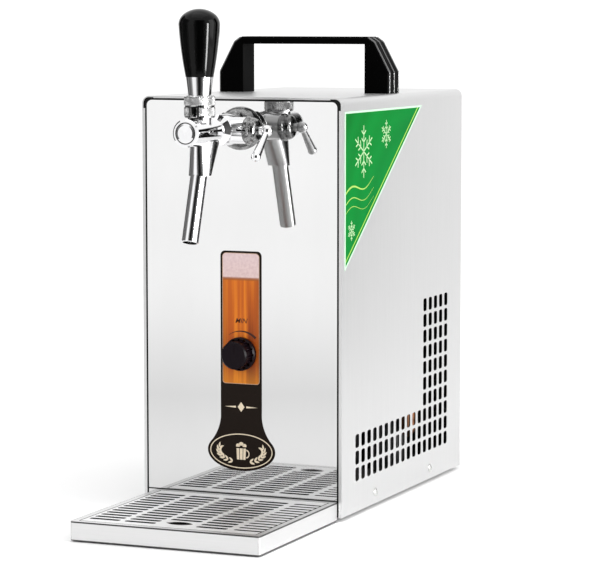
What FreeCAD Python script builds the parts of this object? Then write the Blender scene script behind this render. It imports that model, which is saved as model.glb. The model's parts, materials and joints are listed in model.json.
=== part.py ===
"""Over-counter beer cooler with a compensator tap, millimetres, +Z up, front towards -Y."""
import FreeCAD, Part
import math
import os
import Sketcher

Vector = FreeCAD.Vector
Rotation = FreeCAD.Rotation

# Driving sizes in millimetres, degrees and counts
SIZES = {
    # Case
    "case_width": 175.0,
    "case_depth": 280.0,
    "case_height": 335.0,
    "foot_height": 3.0,
    "foot_radius": 9.0,
    "foot_stem_radius": 2.8,
    "foot_inset": 22.0,
    "sheet": 1.0,
    "cover_bend": 6.0,
    "lip_side": 2.55,
    "lip_top": 1.75,
    "lip_notch": 10.0,
    "trim_gap": 1.5,
    "trim_depth": 6.0,
    "panel_corner": 4.5,
    "panel_return": 9.0,
    "pan_sheet": 1.2,
    "pan_flange": 17.0,
    "rear_lip": 12.0,
    # Ventilation slots in the cover's sides
    "vent_length": 11.0,
    "vent_width": 8.0,
    "vent_corner": 2.2,
    "vent_first_depth": 33.6,
    "vent_first_height": 33.5,
    "vent_column_pitch": 13.0,
    "vent_row_pitch": 13.6,
    "vent_columns": 17,
    "vent_rows": 10,
    "vent_wide_rows": 3,
    "vent_tall_columns": 5,
    # Screws of the case
    "screw_radius": 2.0,
    "screw_head_radius": 3.6,
    "screw_head_height": 1.6,
    "screw_length": 7.0,
    "screw_crown_radius": 3.168,
    "screw_crown_height": 0.96,
    "cover_screw_height": 12.4,
    "cover_screw_front": 73.8,
    "cover_screw_rear": 202.7,
    "rear_screw_low": 60.0,
    "rear_screw_high": 300.0,
    # Carry handle
    "handle_span": 155.0,
    "handle_opening": 111.0,
    "handle_width": 23.5,
    "handle_height": 47.0,
    "handle_shoulder": 17.4,
    "handle_slant_span": 128.0,
    "handle_slant_height": 42.5,
    "handle_flat_span": 114.0,
    "handle_bar": 6.2,
    "handle_edge": 1.6,
    "handle_screw_radius": 2.5,
    "handle_screw_length": 16.0,
    "handle_screw_head_radius": 4.5,
    "handle_screw_head": 3.0,
    # Front label and side sticker
    "label_width": 36.0,
    "label_bottom": 75.0,
    "label_top": 214.5,
    "label_corner": 4.0,
    "label_oval_height": 52.0,
    "label_oval_long": 29.7,
    "label_oval_short": 16.3,
    "label_thickness": 0.4,
    "sticker_inset": 6.0,
    "sticker_length": 173.0,
    "sticker_drop": 126.0,
    "sticker_top_gap": 11.0,
    "sticker_thickness": 0.2,
    # Thermostat
    "knob_height": 131.4,
    "knob_skirt_radius": 13.6,
    "knob_grip_radius": 11.2,
    "knob_reach": 15.5,
    "knob_skirt_depth": 5.0,
    "knob_flutes": 16,
    "flute_radius": 1.2,
    "spindle_radius": 3.0,
    "bushing_radius": 5.0,
    "bushing_reach": 4.0,
    "panel_nut_radius": 8.0,
    "panel_nut_depth": 2.4,
    "knob_hollow_gap": 1.5,
    "knob_front_wall": 3.0,
    "knob_edge": 1.2,
    "pointer_width": 1.0,
    "pointer_rise": 0.4,
    "thermostat_width": 44.0,
    "thermostat_depth": 34.0,
    "thermostat_height": 35.0,
    # Drip tray
    "tray_width": 159.4,
    "tray_depth": 155.0,
    "tray_height": 16.0,
    "tray_offset": 4.7,
    "tray_wall": 1.0,
    "tray_rim": 5.0,
    "tray_ledge": 3.0,
    "tray_corner": 2.0,
    "tray_pad_height": 1.0,
    "tray_pad_radius": 7.0,
    "tray_gap": 0.4,
    "grille_sheet": 1.2,
    "grille_clearance": 0.35,
    "grille_columns": 5,
    "grille_rows": 13,
    "grille_slot_length": 24.5,
    "grille_slot_width": 3.8,
    "grille_column_pitch": 30.3,
    "grille_row_pitch": 9.65,
    "grille_shift": 2.3,
    "grille_front_margin": 17.7,
    "finger_hole_length": 21.0,
    "finger_hole_width": 10.5,
    "finger_hole_setback": 24.0,
    # Tap body
    "tap_height": 313.0,
    "tap_reach": 103.0,
    "barrel_radius": 11.0,
    "barrel_chamfer": 1.2,
    "barrel_start": 56.0,
    "cap_radius": 7.6,
    "cap_seal_width": 0.9,
    "cap_depth": 6.0,
    "cap_bulge": 0.6,
    "cap_edge": 1.5,
    "cap_seal_setback": 0.2,
    "neck_radius": 8.2,
    "chamber_radius": 12.5,
    "chamber_start": 24.0,
    "chamber_end": 49.0,
    "boss_radius": 10.5,
    "boss_length": 22.0,
    "boss_edge": 1.0,
    "compensator_depth": 35.0,
    "piston_bore": 6.1,
    "seat_bore": 4.6,
    "seat_depth": 61.0,
    "seat_width": 3.0,
    "chamber_bore": 7.0,
    # Spout and nozzle
    "lever_depth": 77.0,
    "spout_top": 306.0,
    "spout_bottom": 279.5,
    "spout_end_radius": 9.0,
    "spout_top_length": 17.5,
    "spout_top_width": 10.0,
    "spout_top_shift": 9.5,
    "nozzle_radius": 6.65,
    "nozzle_wall": 1.0,
    "nozzle_length": 54.0,
    "nozzle_socket": 7.0,
    "nozzle_tilt": 18.0,
    "nozzle_lip": 0.4,
    # Lever
    "pivot_height": 320.0,
    "lever_boss_radius": 9.6,
    "lever_boss_top": 326.0,
    "pivot_ball_radius": 5.0,
    "stem_radius": 3.0,
    "stem_tip_radius": 2.4,
    "stem_tip_drop": 7.0,
    "collar_radius": 11.7,
    "bonnet_bottom": 324.5,
    "collar_bottom": 332.8,
    "collar_top": 341.5,
    "cup_radius": 17.2,
    "cup_clearance": 0.3,
    "lever_slot": 3.5,
    "lever_slot_rise": 2.0,
    "collar_edge": 1.0,
    "ferrule_bottom_radius": 9.0,
    "grip_bottom": 355.6,
    "grip_bottom_radius": 10.8,
    "grip_wide_height": 396.0,
    "grip_wide_radius": 16.1,
    "grip_top": 408.0,
    # Valve piston
    "piston_land_start": 95.0,
    "piston_land_end": 87.0,
    "piston_rod_radius": 4.4,
    "piston_neck_radius": 3.0,
    "piston_head_radius": 6.0,
    "piston_head_length": 4.0,
    "piston_slot": 2.6,
    "piston_flat_front": 9.5,
    "piston_flat_rear": 8.0,
    "seal_thickness": 1.2,
    # Compensator
    "compensator_shaft_radius": 2.5,
    "compensator_eccentric": 1.2,
    "compensator_pin_radius": 1.2,
    "cone_rear": 30.0,
    "cone_front": 41.0,
    "cone_small_radius": 4.6,
    "cone_large_radius": 6.4,
    "compensator_cap_end": 31.4,
    "compensator_cap_rim": 1.4,
    "compensator_cap_step": 0.6,
    "compensator_neck_radius": 3.4,
    "compensator_hub_reach": 38.4,
    "compensator_hub_radius": 4.6,
    "compensator_rod_root": 2.2,
    "compensator_rod_radius": 3.6,
    "compensator_rod_length": 29.0,
    "compensator_tip_radius": 3.8,
    "compensator_rest_angle": 42.0,
    # Shank through the front panel
    "coupling_front": 28.0,
    "coupling_rear": 15.5,
    "coupling_hex_radius": 15.0,
    "coupling_edge_wide": 16.0,
    "coupling_edge_narrow": 12.0,
    "rosette_radius": 17.5,
    "rosette_depth": 15.0,
    "rosette_rim": 1.5,
    "rosette_nose": 2.5,
    "shank_radius": 8.0,
    "shank_bore": 4.5,
    "shank_inner_reach": 26.0,
    "shank_nut_radius": 14.0,
    "shank_nut_depth": 8.0,
    "fit_clearance": 0.1,
    "running_clearance": 0.3,
    # Beer path
    "coil_radius": 38.4,
    "coil_tube_radius": 4.0,
    "coil_pitch": 10.5,
    "coil_turns": 9,
    "coil_bottom": 196.0,
    "core_depth": 106.0,
    "core_bottom": 184.0,
    "core_height": 122.0,
    "insulation_front": 54.0,
    "insulation_rear": 162.0,
    "insulation_width": 116.0,
    "insulation_bottom": 172.0,
    "insulation_height": 148.0,
    "insulation_cavity": 44.0,
    "insulation_corner": 4.0,
    "outlet_bend": 7.2,
    "outlet_run": 14.0,
    "fitting_radius": 8.5,
    "fitting_reach": 20.0,
    "inlet_bore": 4.1,
    "inlet_socket_depth": 16.0,
    "inlet_inside_reach": 22.0,
    "inlet_step": 1.0,
    "fitting_collar": 2.0,
    "fitting_collar_depth": 5.0,
    "fitting_edge": 0.5,
    "inlet_nut_radius": 12.5,
    "inlet_nut_depth": 6.0,
    "collet_radius": 6.2,
    "collet_flange_radius": 7.4,
    "collet_travel": 1.5,
    "collet_space_depth": 8.0,
    "collet_flange_depth": 1.0,
    # Cold unit
    "compressor_depth": 112.0,
    "compressor_radius": 53.0,
    "compressor_bottom": 16.0,
    "compressor_height": 132.0,
    "compressor_foot": 14.0,
    "compressor_crown": 22.0,
    "compressor_port_height": 72.6,
    "plate_width": 132.0,
    "plate_depth": 96.0,
    "plate_sheet": 2.0,
    "grommet_radius": 6.0,
    "grommet_height": 9.5,
    "grommet_waist": 4.0,
    "grommet_inset": 8.0,
    "grommet_head": 2.0,
    "relay_width": 30.0,
    "relay_depth": 12.0,
    "relay_height": 36.0,
    "relay_corner": 2.0,
    "relay_overlap": 4.8,
    "condenser_width": 124.0,
    "condenser_height": 124.0,
    "condenser_offset": 4.0,
    "condenser_depth": 24.0,
    "condenser_bottom": 4.2,
    "fin_count": 17,
    "fin_thickness": 1.6,
    "header": 6.0,
    "shroud_depth": 8.0,
    "shroud_wall": 2.0,
    "shroud_spoke": 5.0,
    "fan_radius": 52.0,
    "fan_hub_radius": 15.0,
    "fan_hub_edge": 2.0,
    "fan_depth": 16.0,
    "fan_blades": 7,
    "fan_blade_thickness": 1.6,
    "fan_blade_pitch": 32.0,
    "fan_tip_clearance": 3.0,
    "fan_shaft_radius": 2.5,
    "motor_radius": 20.0,
    "motor_length": 26.0,
    "motor_edge": 3.0,
    "motor_bore_depth": 18.2,
    "motor_shaft_depth": 10.4,
    "pipe_radius": 3.0,
    "pipe_bend": 6.6,
    "pipe_stand_off": 13.5,
    "pipe_side_step": 4.0,
    "dryer_gap": 0.3,
    "capillary_radius": 1.5,
    "dryer_radius": 8.0,
    "dryer_length": 64.0,
    # Rear panel
    "rear_slot_length": 34.0,
    "rear_slot_width": 4.5,
    "rear_slot_rows": 11,
    "rear_slot_columns": 3,
    "rear_slot_row_pitch": 10.0,
    "rear_slot_column_pitch": 40.0,
    "rear_slot_first": 45.0,
    "inlet_power_width": 27.4,
    "inlet_power_height": 20.0,
    "inlet_power_depth": 18.0,
    "inlet_power_flange": 50.0,
    "inlet_power_flange_height": 24.0,
    "inlet_power_screws": 40.0,
    "inlet_power_x": 46.0,
    "inlet_power_z": 196.0,
    "inlet_power_wall": 2.4,
    "power_pin_gap": 7.0,
    "power_pin_width": 2.0,
    "power_pin_height": 4.0,
}

doc = FreeCAD.newDocument("beer_cooler")
sheet = doc.addObject("Spreadsheet::Sheet", "Sizes")
nodes = []


class Size:
    """A length, angle or count that knows its number and the expression it comes from."""

    def __init__(self, value, text):
        self.value = value
        self.text = text

    def __add__(self, other):
        other = as_size(other)
        return Size(self.value + other.value, f"({self.text} + {other.text})")

    def __sub__(self, other):
        other = as_size(other)
        return Size(self.value - other.value, f"({self.text} - {other.text})")

    def __mul__(self, other):
        other = as_size(other)
        return Size(self.value * other.value, f"({self.text} * {other.text})")

    def __truediv__(self, other):
        other = as_size(other)
        return Size(self.value / other.value, f"({self.text} / {other.text})")

    def __radd__(self, other):
        return as_size(other) + self

    def __rsub__(self, other):
        return as_size(other) - self

    def __rmul__(self, other):
        return as_size(other) * self

    def __neg__(self):
        return Size(-self.value, f"(-1 * {self.text})")

    def __float__(self):
        return self.value


def as_size(number):
    """A plain number as a Size; a Size stays as it is."""
    if isinstance(number, Size):
        return number
    return Size(float(number), repr(float(number)))


class Named:
    """Holds each driving size under its own name."""


S = Named()
for sheet_row, (alias, number) in enumerate(SIZES.items(), start=1):
    sheet.set(f"A{sheet_row}", alias)
    sheet.set(f"B{sheet_row}", str(number))
    sheet.setAlias(f"B{sheet_row}", alias)
    setattr(S, alias, Size(float(number), f"Sizes.{alias}"))
doc.recompute()

# Places that several pieces share
HALF_WIDTH = S.case_width / 2
FRONT = (S.tray_depth - S.case_depth - S.fitting_reach) / 2
REAR = FRONT + S.case_depth
TOP = S.foot_height + S.case_height
FLOOR = S.foot_height + S.pan_sheet
INSIDE = HALF_WIDTH - S.sheet
PANEL_HALF = HALF_WIDTH - S.lip_side - S.trim_gap
PANEL_TOP = TOP - S.lip_top - S.trim_gap
MIDDLE = FRONT + S.case_depth / 2
LEVER_Y = FRONT - S.lever_depth
TRAY_FRONT = FRONT - S.tray_depth
TRAY_BACK = FRONT - S.tray_gap
RIM_HALF = S.tray_width / 2 - S.tray_rim
FAN_HEIGHT = S.condenser_bottom + S.condenser_height / 2
CORE_Y = FRONT + S.core_depth
COMPRESSOR_REAR = FRONT + S.compressor_depth + S.compressor_radius
FAN_ROOM = S.shroud_wall + S.fan_depth + S.shroud_depth / 2 + S.motor_length
CONDENSER_FRONT = ((COMPRESSOR_REAR + REAR - S.sheet - S.condenser_depth - FAN_ROOM) / 2
                   - S.condenser_offset)
INLET_X = -S.coil_radius
COIL_TOP = S.coil_bottom + S.coil_pitch * S.coil_turns
OVERRUN = 1.0

# How nearly an edge must lie along an axis to count as parallel to it, and a slot's corner share
PARALLEL = 0.99
SLOT_CORNER = 0.45

# Turns that point a piece's own +Z along another direction
ALONG = {
    "z": Rotation(),
    "-z": Rotation(Vector(1, 0, 0), 180),
    "x": Rotation(Vector(0, 1, 0), 90),
    "-x": Rotation(Vector(0, 1, 0), -90),
    "y": Rotation(Vector(1, 0, 0), -90),
    "-y": Rotation(Vector(1, 0, 0), 90),
    "half turn": Rotation(Vector(0, 0, 1), 180),
}


def bind(item, prop, size):
    """Tie one property of an object to an expression of the sheet."""
    item.setExpression(prop, as_size(size).text)


def place(item, x, y, z, along="z"):
    """Turn an object to a direction and tie its position to the sheet."""
    item.Placement = FreeCAD.Placement(Vector(), ALONG[along])
    bind(item, "Placement.Base.x", x)
    bind(item, "Placement.Base.y", y)
    bind(item, "Placement.Base.z", z)
    return item


def box(name, x, y, z):
    """A block between two corners, given as (low, high) along each axis."""
    block = doc.addObject("Part::Box", name)
    for prop, (low, high) in zip(("Length", "Width", "Height"), (x, y, z)):
        bind(block, prop, as_size(high) - low)
    return place(block, x[0], y[0], z[0])


def rod(name, radius, length, x, y, z, along="z"):
    """A cylinder from a point along a direction."""
    cylinder = doc.addObject("Part::Cylinder", name)
    bind(cylinder, "Radius", radius)
    bind(cylinder, "Height", length)
    return place(cylinder, x, y, z, along)


def cone(name, radius, end_radius, length, x, y, z, along="z"):
    """A cone from a point along a direction."""
    frustum = doc.addObject("Part::Cone", name)
    bind(frustum, "Radius1", radius)
    bind(frustum, "Radius2", end_radius)
    bind(frustum, "Height", length)
    return place(frustum, x, y, z, along)


def ball(name, radius, x, y, z):
    """A sphere about a point."""
    sphere = doc.addObject("Part::Sphere", name)
    bind(sphere, "Radius", radius)
    return place(sphere, x, y, z)


def hexagon(name, radius, length, x, y, z, along="z"):
    """A six-sided prism from a point along a direction."""
    prism = doc.addObject("Part::Prism", name)
    prism.Polygon = 6
    bind(prism, "Circumradius", radius)
    bind(prism, "Height", length)
    return place(prism, x, y, z, along)


def fuse(name, *parts):
    """One solid made of several touching solids."""
    joined = doc.addObject("Part::MultiFuse", name)
    joined.Shapes = list(parts)
    joined.Refine = True
    return joined


def group(name, *parts):
    """Separate solids that share one name, such as like screws."""
    together = doc.addObject("Part::Compound", name)
    together.Links = list(parts)
    return together


def cut(name, base, *tools):
    """A solid with each tool taken out of it."""
    result = doc.addObject("Part::Cut", name)
    result.Base = base
    result.Tool = tools[0] if len(tools) == 1 else fuse(name + "_tools", *tools)
    result.Refine = True
    return result


def common(name, first, second):
    """The space that two solids share."""
    result = doc.addObject("Part::Common", name)
    result.Base = first
    result.Tool = second
    return result


def origin_plane(body, role):
    """One of a body's own origin planes."""
    return next(plane for plane in body.Origin.OriginFeatures if plane.Role == role)


def outline(body, role, points):
    """A closed sketch on an origin plane, with each corner tied to the sheet.

    A point is (u, v), or (u, v, mid_u, mid_v) where an arc through mid leads to it.
    """
    sketch = body.newObject("Sketcher::SketchObject", body.Name + "_outline")
    sketch.AttachmentSupport = [(origin_plane(body, role), "")]
    sketch.MapMode = "FlatFace"
    corners = [Vector(float(as_size(p[0])), float(as_size(p[1])), 0) for p in points]
    for index, point in enumerate(points):
        before = corners[index - 1]
        here = corners[index]
        if len(point) == 4:
            middle = Vector(float(as_size(point[2])), float(as_size(point[3])), 0)
            sketch.addGeometry(Part.Arc(before, middle, here), False)
        else:
            sketch.addGeometry(Part.LineSegment(before, here), False)
    for index, point in enumerate(points):
        end = arc_end(sketch, index, corners[index])
        after = (index + 1) % len(points)
        start = arc_end(sketch, after, corners[index])
        sketch.addConstraint(Sketcher.Constraint("Coincident", index, end, after, start))
        for kind, size in (("DistanceX", point[0]), ("DistanceY", point[1])):
            constraint = sketch.addConstraint(
                Sketcher.Constraint(kind, -1, 1, index, end, float(as_size(size))))
            bind(sketch, f"Constraints[{constraint}]", size)
    return sketch


def arc_end(sketch, index, corner):
    """Which end of a sketch's edge lies on a corner: 1 is its start, 2 its end."""
    if sketch.getPoint(index, 1).distanceToPoint(corner) < sketch.getPoint(index, 2).distanceToPoint(corner):
        return 1
    return 2


def body_at(name, x, y, z, along):
    """An empty body with its own place."""
    return place(doc.addObject("PartDesign::Body", name), x, y, z, along)


def turned(name, points, x, y, z, along="z"):
    """A lathe-turned piece; points are (radius, height along the axis)."""
    body = body_at(name, x, y, z, along)
    sketch = outline(body, "XZ_Plane", points)
    turn = body.newObject("PartDesign::Revolution", name + "_turn")
    turn.Profile = sketch
    turn.ReferenceAxis = (sketch, ["V_Axis"])
    turn.Angle = 360
    return body


def plate(name, points, thickness, x, y, z, along="z"):
    """A flat piece; points are its outline in the body's own XY plane."""
    body = body_at(name, x, y, z, along)
    pad = body.newObject("PartDesign::Pad", name + "_pad")
    pad.Profile = outline(body, "XY_Plane", points)
    bind(pad, "Length", thickness)
    return body


def edge_names(shape, test):
    """Names of the edges whose middle and direction pass a test."""
    names = []
    for number, edge in enumerate(shape.Edges, start=1):
        middle = edge.valueAt((edge.FirstParameter + edge.LastParameter) / 2)
        along = edge.tangentAt((edge.FirstParameter + edge.LastParameter) / 2)
        if test(middle, along):
            names.append(f"Edge{number}")
    return names


def soften(body, kind, size, test):
    """Fillet or chamfer the edges of a body's last feature that pass a test."""
    doc.recompute()
    base = body.Tip
    soft = body.newObject("PartDesign::" + kind, body.Name + "_" + kind.lower())
    soft.Base = (base, edge_names(base.Shape, test))
    bind(soft, "Radius" if kind == "Fillet" else "Size", size)
    return body


def rounded_box(name, x, y, z, radius, axis, test=lambda middle: True):
    """A block with the edges along one axis rounded."""
    length, width = as_size(x[1]) - x[0], as_size(y[1]) - y[0]
    corners = [(0, 0), (length, 0), (length, width), (0, width)]
    body = plate(name, corners, as_size(z[1]) - z[0], x[0], y[0], z[0])

    def picked(middle, along):
        return abs(along[axis]) > PARALLEL and test(middle)

    return soften(body, "Fillet", radius, picked)


def coded(name, shape):
    """A piece whose shape is worked out here from the sheet's sizes."""
    feature = doc.addObject("Part::Feature", name)
    feature.Shape = shape
    return feature


def rounded_slot(length, width, radius, depth):
    """A rounded prism about the origin: length along X, width along Y, depth along Z."""
    block = Part.makeBox(length, width, depth, Vector(-length / 2, -width / 2, -depth / 2))
    upright = [edge for edge in block.Edges if abs(edge.tangentAt(edge.FirstParameter).z) > PARALLEL]
    return block.makeFillet(radius, upright)


def bent_tube(name, radius, bend, points):
    """A round tube along straight runs joined by tangent arcs."""
    corners = [Vector(*(float(as_size(value)) for value in point)) for point in points]
    bend = float(as_size(bend))
    edges = []
    start = corners[0]
    for before, here, after in zip(corners, corners[1:], corners[2:]):
        back = (before - here).normalize()
        onward = (after - here).normalize()
        half_turn = (math.pi - back.getAngle(onward)) / 2
        reach = bend * math.tan(half_turn)
        towards_centre = (back + onward).normalize()
        centre = here + towards_centre * (bend / math.cos(half_turn))
        edges.append(Part.LineSegment(start, here + back * reach).toShape())
        middle = centre - towards_centre * bend
        edges.append(Part.Arc(here + back * reach, middle, here + onward * reach).toShape())
        start = here + onward * reach
    edges.append(Part.LineSegment(start, corners[-1]).toShape())
    path = Part.Wire(edges)
    section = Part.Wire(Part.makeCircle(float(radius), corners[0], corners[1] - corners[0]))
    return coded(name, path.makePipeShell([section], True, True))


def node(feature, name):
    """Name a finished sub-part; the name is its file's name too."""
    feature.Label = name
    nodes.append(feature)
    return feature


# Case
def wrap_cover():
    """The folded steel cover: two sides and the top, with vents, front lips and rear lips."""
    outer = rounded_upright("cover_outer", HALF_WIDTH, TOP, S.cover_bend, FRONT, REAR, S.foot_height)
    inner = rounded_upright("cover_inner", INSIDE, TOP - S.sheet, S.cover_bend - S.sheet,
                            FRONT - OVERRUN, REAR + OVERRUN, S.foot_height - OVERRUN)
    shell = cut("cover_shell", outer, inner)
    lips = []
    for side, low, high in (("left", -HALF_WIDTH, S.lip_side - HALF_WIDTH),
                            ("right", HALF_WIDTH - S.lip_side, HALF_WIDTH)):
        lips.append(box(f"cover_front_lip_{side}", (low, high), (FRONT, FRONT + S.sheet),
                        (S.foot_height, TOP - S.lip_notch)))
    lips.append(box("cover_front_lip_top", (S.lip_notch - HALF_WIDTH, HALF_WIDTH - S.lip_notch),
                    (FRONT, FRONT + S.sheet), (TOP - S.lip_top, TOP)))
    rear_y = (REAR - 2 * S.sheet, REAR - S.sheet)
    lip_z = (FLOOR + S.pan_flange + OVERRUN, TOP - S.lip_notch)
    lips.append(box("cover_rear_lip_left", (-INSIDE - S.sheet / 2, S.rear_lip - INSIDE), rear_y, lip_z))
    lips.append(box("cover_rear_lip_right", (INSIDE - S.rear_lip, INSIDE + S.sheet / 2), rear_y, lip_z))
    folded = fuse("cover_folded", shell, *lips)
    holes = cover_screw_rods("cover_hole", S.screw_radius + S.fit_clearance, 2 * HALF_WIDTH)
    holes += rear_screw_rods("cover_rear_hole", S.screw_radius + S.fit_clearance, S.rear_lip)
    holes += handle_screw_rods("cover_handle_hole", S.handle_screw_radius + S.fit_clearance, -S.rear_lip)
    drilled = cut("cover_drilled", folded, *holes)
    node(cut("wrap_cover", drilled, vent_cutter()), "wrap_cover")


def rounded_upright(name, half_width, top, radius, front, back, bottom):
    """A block standing in the case with its two top edges rounded."""
    middle_height = (float(top) + float(bottom)) / 2
    corners = [(-half_width, bottom), (half_width, bottom), (half_width, top), (-half_width, top)]
    body = body_at(name, 0, back, 0, "-y")
    pad = body.newObject("PartDesign::Pad", name + "_pad")
    pad.Profile = outline(body, "XY_Plane", corners)
    bind(pad, "Length", back - front)

    def top_edge(middle, along):
        return abs(along.z) > PARALLEL and middle.y > middle_height

    return soften(body, "Fillet", radius, top_edge)


def vent_cutter():
    """Rounded slots right across the case: wide low rows, and a tall block at the rear."""
    prisms = []
    slot = rounded_slot(S.vent_length.value, S.vent_width.value, S.vent_corner.value,
                        2 * S.case_width.value)
    slot.rotate(Vector(), Vector(0, 1, 0), 90)
    first_tall = int(S.vent_columns.value - S.vent_tall_columns.value)
    for row in range(int(S.vent_rows.value)):
        first = 0 if row < S.vent_wide_rows.value else first_tall
        for column in range(first, int(S.vent_columns.value)):
            depth = S.vent_first_depth.value + column * S.vent_column_pitch.value
            height = S.vent_first_height.value + row * S.vent_row_pitch.value
            prisms.append(slot.translated(Vector(0, FRONT.value + depth, height)))
    return coded("vent_cutter", Part.makeCompound(prisms))


def cover_screw_rods(name, radius, length):
    """Rods inwards from both sides at the four cover screws."""
    rods = []
    for depth in (S.cover_screw_front, S.cover_screw_rear):
        for side, along in ((-HALF_WIDTH, "x"), (HALF_WIDTH, "-x")):
            rods.append(rod(f"{name}_{len(rods)}", radius, length, side,
                            FRONT + depth, S.cover_screw_height, along))
    return rods


def rear_screw_rods(name, radius, length):
    """Rods forwards from the rear face at the rear panel's four screws."""
    rods = []
    for height in (S.rear_screw_low, S.rear_screw_high):
        for side in (-1, 1):
            rods.append(rod(f"{name}_{len(rods)}", radius, length,
                            side * (INSIDE - S.rear_lip / 2), REAR, height, "-y"))
    return rods


def handle_screw_rods(name, radius, rise):
    """Rods upwards through the cover's top into the handle's legs."""
    rods = []
    leg = (S.handle_span + S.handle_opening) / 4
    for side in (-1, 1):
        rods.append(rod(f"{name}_{len(rods)}", radius, S.handle_screw_length, side * leg,
                        MIDDLE, TOP - S.sheet + rise, "z"))
    return rods


def base_pan():
    """The folded floor pan that carries everything."""
    floor = box("pan_floor", (-INSIDE, INSIDE), (FRONT + S.sheet, REAR - S.sheet), (S.foot_height, FLOOR))
    flange_z = (S.foot_height, FLOOR + S.pan_flange)
    side_y = (FRONT + S.trim_depth + OVERRUN, REAR - S.sheet)
    left = box("pan_left", (-INSIDE, S.pan_sheet - INSIDE), side_y, flange_z)
    right = box("pan_right", (INSIDE - S.pan_sheet, INSIDE), side_y, flange_z)
    front_half = PANEL_HALF - S.sheet - S.fit_clearance
    front = box("pan_front", (-front_half, front_half),
                (FRONT + S.sheet, FRONT + S.sheet + S.pan_sheet), flange_z)
    rear = box("pan_rear", (-INSIDE, INSIDE), (REAR - S.sheet - S.pan_sheet, REAR - S.sheet), flange_z)
    folded = fuse("pan_folded", floor, left, right, front, rear)
    holes = foot_rods("pan_foot_hole", S.foot_stem_radius + S.fit_clearance)
    holes += cover_screw_rods("pan_hole", S.screw_radius + S.fit_clearance, 2 * HALF_WIDTH)
    node(cut("base_pan", folded, *holes), "base_pan")


def foot_places():
    """Centres of the four feet."""
    side = HALF_WIDTH - S.foot_inset
    return [(x, y) for x in (-side, side) for y in (FRONT + S.foot_inset, REAR - S.foot_inset)]


def foot_rods(name, radius):
    """Rods upwards through the floor at the four feet."""
    return [rod(f"{name}_{number}", radius, FLOOR + OVERRUN, x, y, 0)
            for number, (x, y) in enumerate(foot_places())]


def feet():
    """Four push-in rubber feet with barbed stems."""
    barb = S.foot_stem_radius + S.sheet
    profile = [(0, 0), (S.foot_radius - S.sheet, 0), (S.foot_radius, S.foot_height),
               (S.foot_stem_radius, S.foot_height), (S.foot_stem_radius, FLOOR),
               (barb, FLOOR), (S.foot_stem_radius, FLOOR + 2 * S.sheet), (0, FLOOR + 2 * S.sheet)]
    made = [turned(f"foot_{number}", profile, x, y, 0) for number, (x, y) in enumerate(foot_places())]
    node(group("feet", *made), "feet")


def front_panel():
    """The polished front panel with folded returns, holes for the shank and the thermostat."""
    face = rounded_upright("panel_face", PANEL_HALF, PANEL_TOP, S.panel_corner,
                           FRONT, FRONT + S.sheet, S.foot_height)
    back = FRONT + S.panel_return
    side_z = (FLOOR, PANEL_TOP - S.lip_notch)
    left = box("panel_left", (-PANEL_HALF, S.sheet - PANEL_HALF), (FRONT + S.sheet, back), side_z)
    right = box("panel_right", (PANEL_HALF - S.sheet, PANEL_HALF), (FRONT + S.sheet, back), side_z)
    upper = box("panel_upper", (S.lip_notch - PANEL_HALF, PANEL_HALF - S.lip_notch),
                (FRONT + S.sheet, back), (PANEL_TOP - S.sheet, PANEL_TOP))
    folded = fuse("panel_folded", face, left, right, upper)
    shank_hole = rod("panel_shank_hole", S.shank_radius + S.fit_clearance, 2 * S.panel_return,
                     0, FRONT - OVERRUN, S.tap_height, "y")
    bushing_hole = rod("panel_bushing_hole", S.bushing_radius + S.fit_clearance, 2 * S.panel_return,
                       0, FRONT - OVERRUN, S.knob_height, "y")
    node(cut("front_panel", folded, shank_hole, bushing_hole), "front_panel")


def front_trim():
    """Black moulded edging that fills the gap between the panel and the cover."""
    front, back = FRONT + S.sheet, FRONT + S.trim_depth
    outer = rounded_upright("trim_outer", INSIDE, TOP - S.sheet, S.cover_bend - S.sheet,
                            front, back, FLOOR)
    inner = rounded_upright("trim_inner", PANEL_HALF + S.fit_clearance, PANEL_TOP + S.fit_clearance,
                            S.panel_corner, front - OVERRUN, back + OVERRUN, FLOOR - OVERRUN)
    node(cut("front_trim", outer, inner), "front_trim")


def rear_panel():
    """The screwed rear panel with air slots and holes for the two inlets."""
    face = rounded_upright("rear_face", INSIDE, TOP - S.sheet, S.cover_bend - S.sheet,
                           REAR - S.sheet, REAR, FLOOR)
    holes = rear_screw_rods("rear_hole", S.screw_radius + S.fit_clearance, S.rear_lip)
    holes.append(rod("rear_inlet_hole", S.fitting_radius + S.fit_clearance, S.rear_lip,
                     INLET_X, REAR - S.rear_lip / 2, S.coil_bottom, "y"))
    holes.append(box("rear_power_hole",
                     (S.inlet_power_x - S.inlet_power_width / 2 - S.fit_clearance,
                      S.inlet_power_x + S.inlet_power_width / 2 + S.fit_clearance),
                     (REAR - S.rear_lip, REAR + OVERRUN),
                     (S.inlet_power_z - S.inlet_power_height / 2 - S.fit_clearance,
                      S.inlet_power_z + S.inlet_power_height / 2 + S.fit_clearance)))
    holes += power_screw_rods("rear_power_screw_hole", S.screw_radius + S.fit_clearance, S.rear_lip)
    drilled = cut("rear_drilled", face, *holes)
    node(cut("rear_panel", drilled, rear_slot_cutter()), "rear_panel")


def rear_slot_cutter():
    """Rows of air slots behind the fan."""
    slot = rounded_slot(S.rear_slot_length.value, S.rear_slot_width.value,
                        SLOT_CORNER * S.rear_slot_width.value, 2 * S.rear_lip.value)
    slot.rotate(Vector(), Vector(1, 0, 0), 90)
    prisms = []
    middle_column = (S.rear_slot_columns.value - 1) / 2
    for row in range(int(S.rear_slot_rows.value)):
        for column in range(int(S.rear_slot_columns.value)):
            x = (column - middle_column) * S.rear_slot_column_pitch.value
            z = S.rear_slot_first.value + row * S.rear_slot_row_pitch.value
            prisms.append(slot.translated(Vector(x, REAR.value, z)))
    return coded("rear_slot_cutter", Part.makeCompound(prisms))


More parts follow.
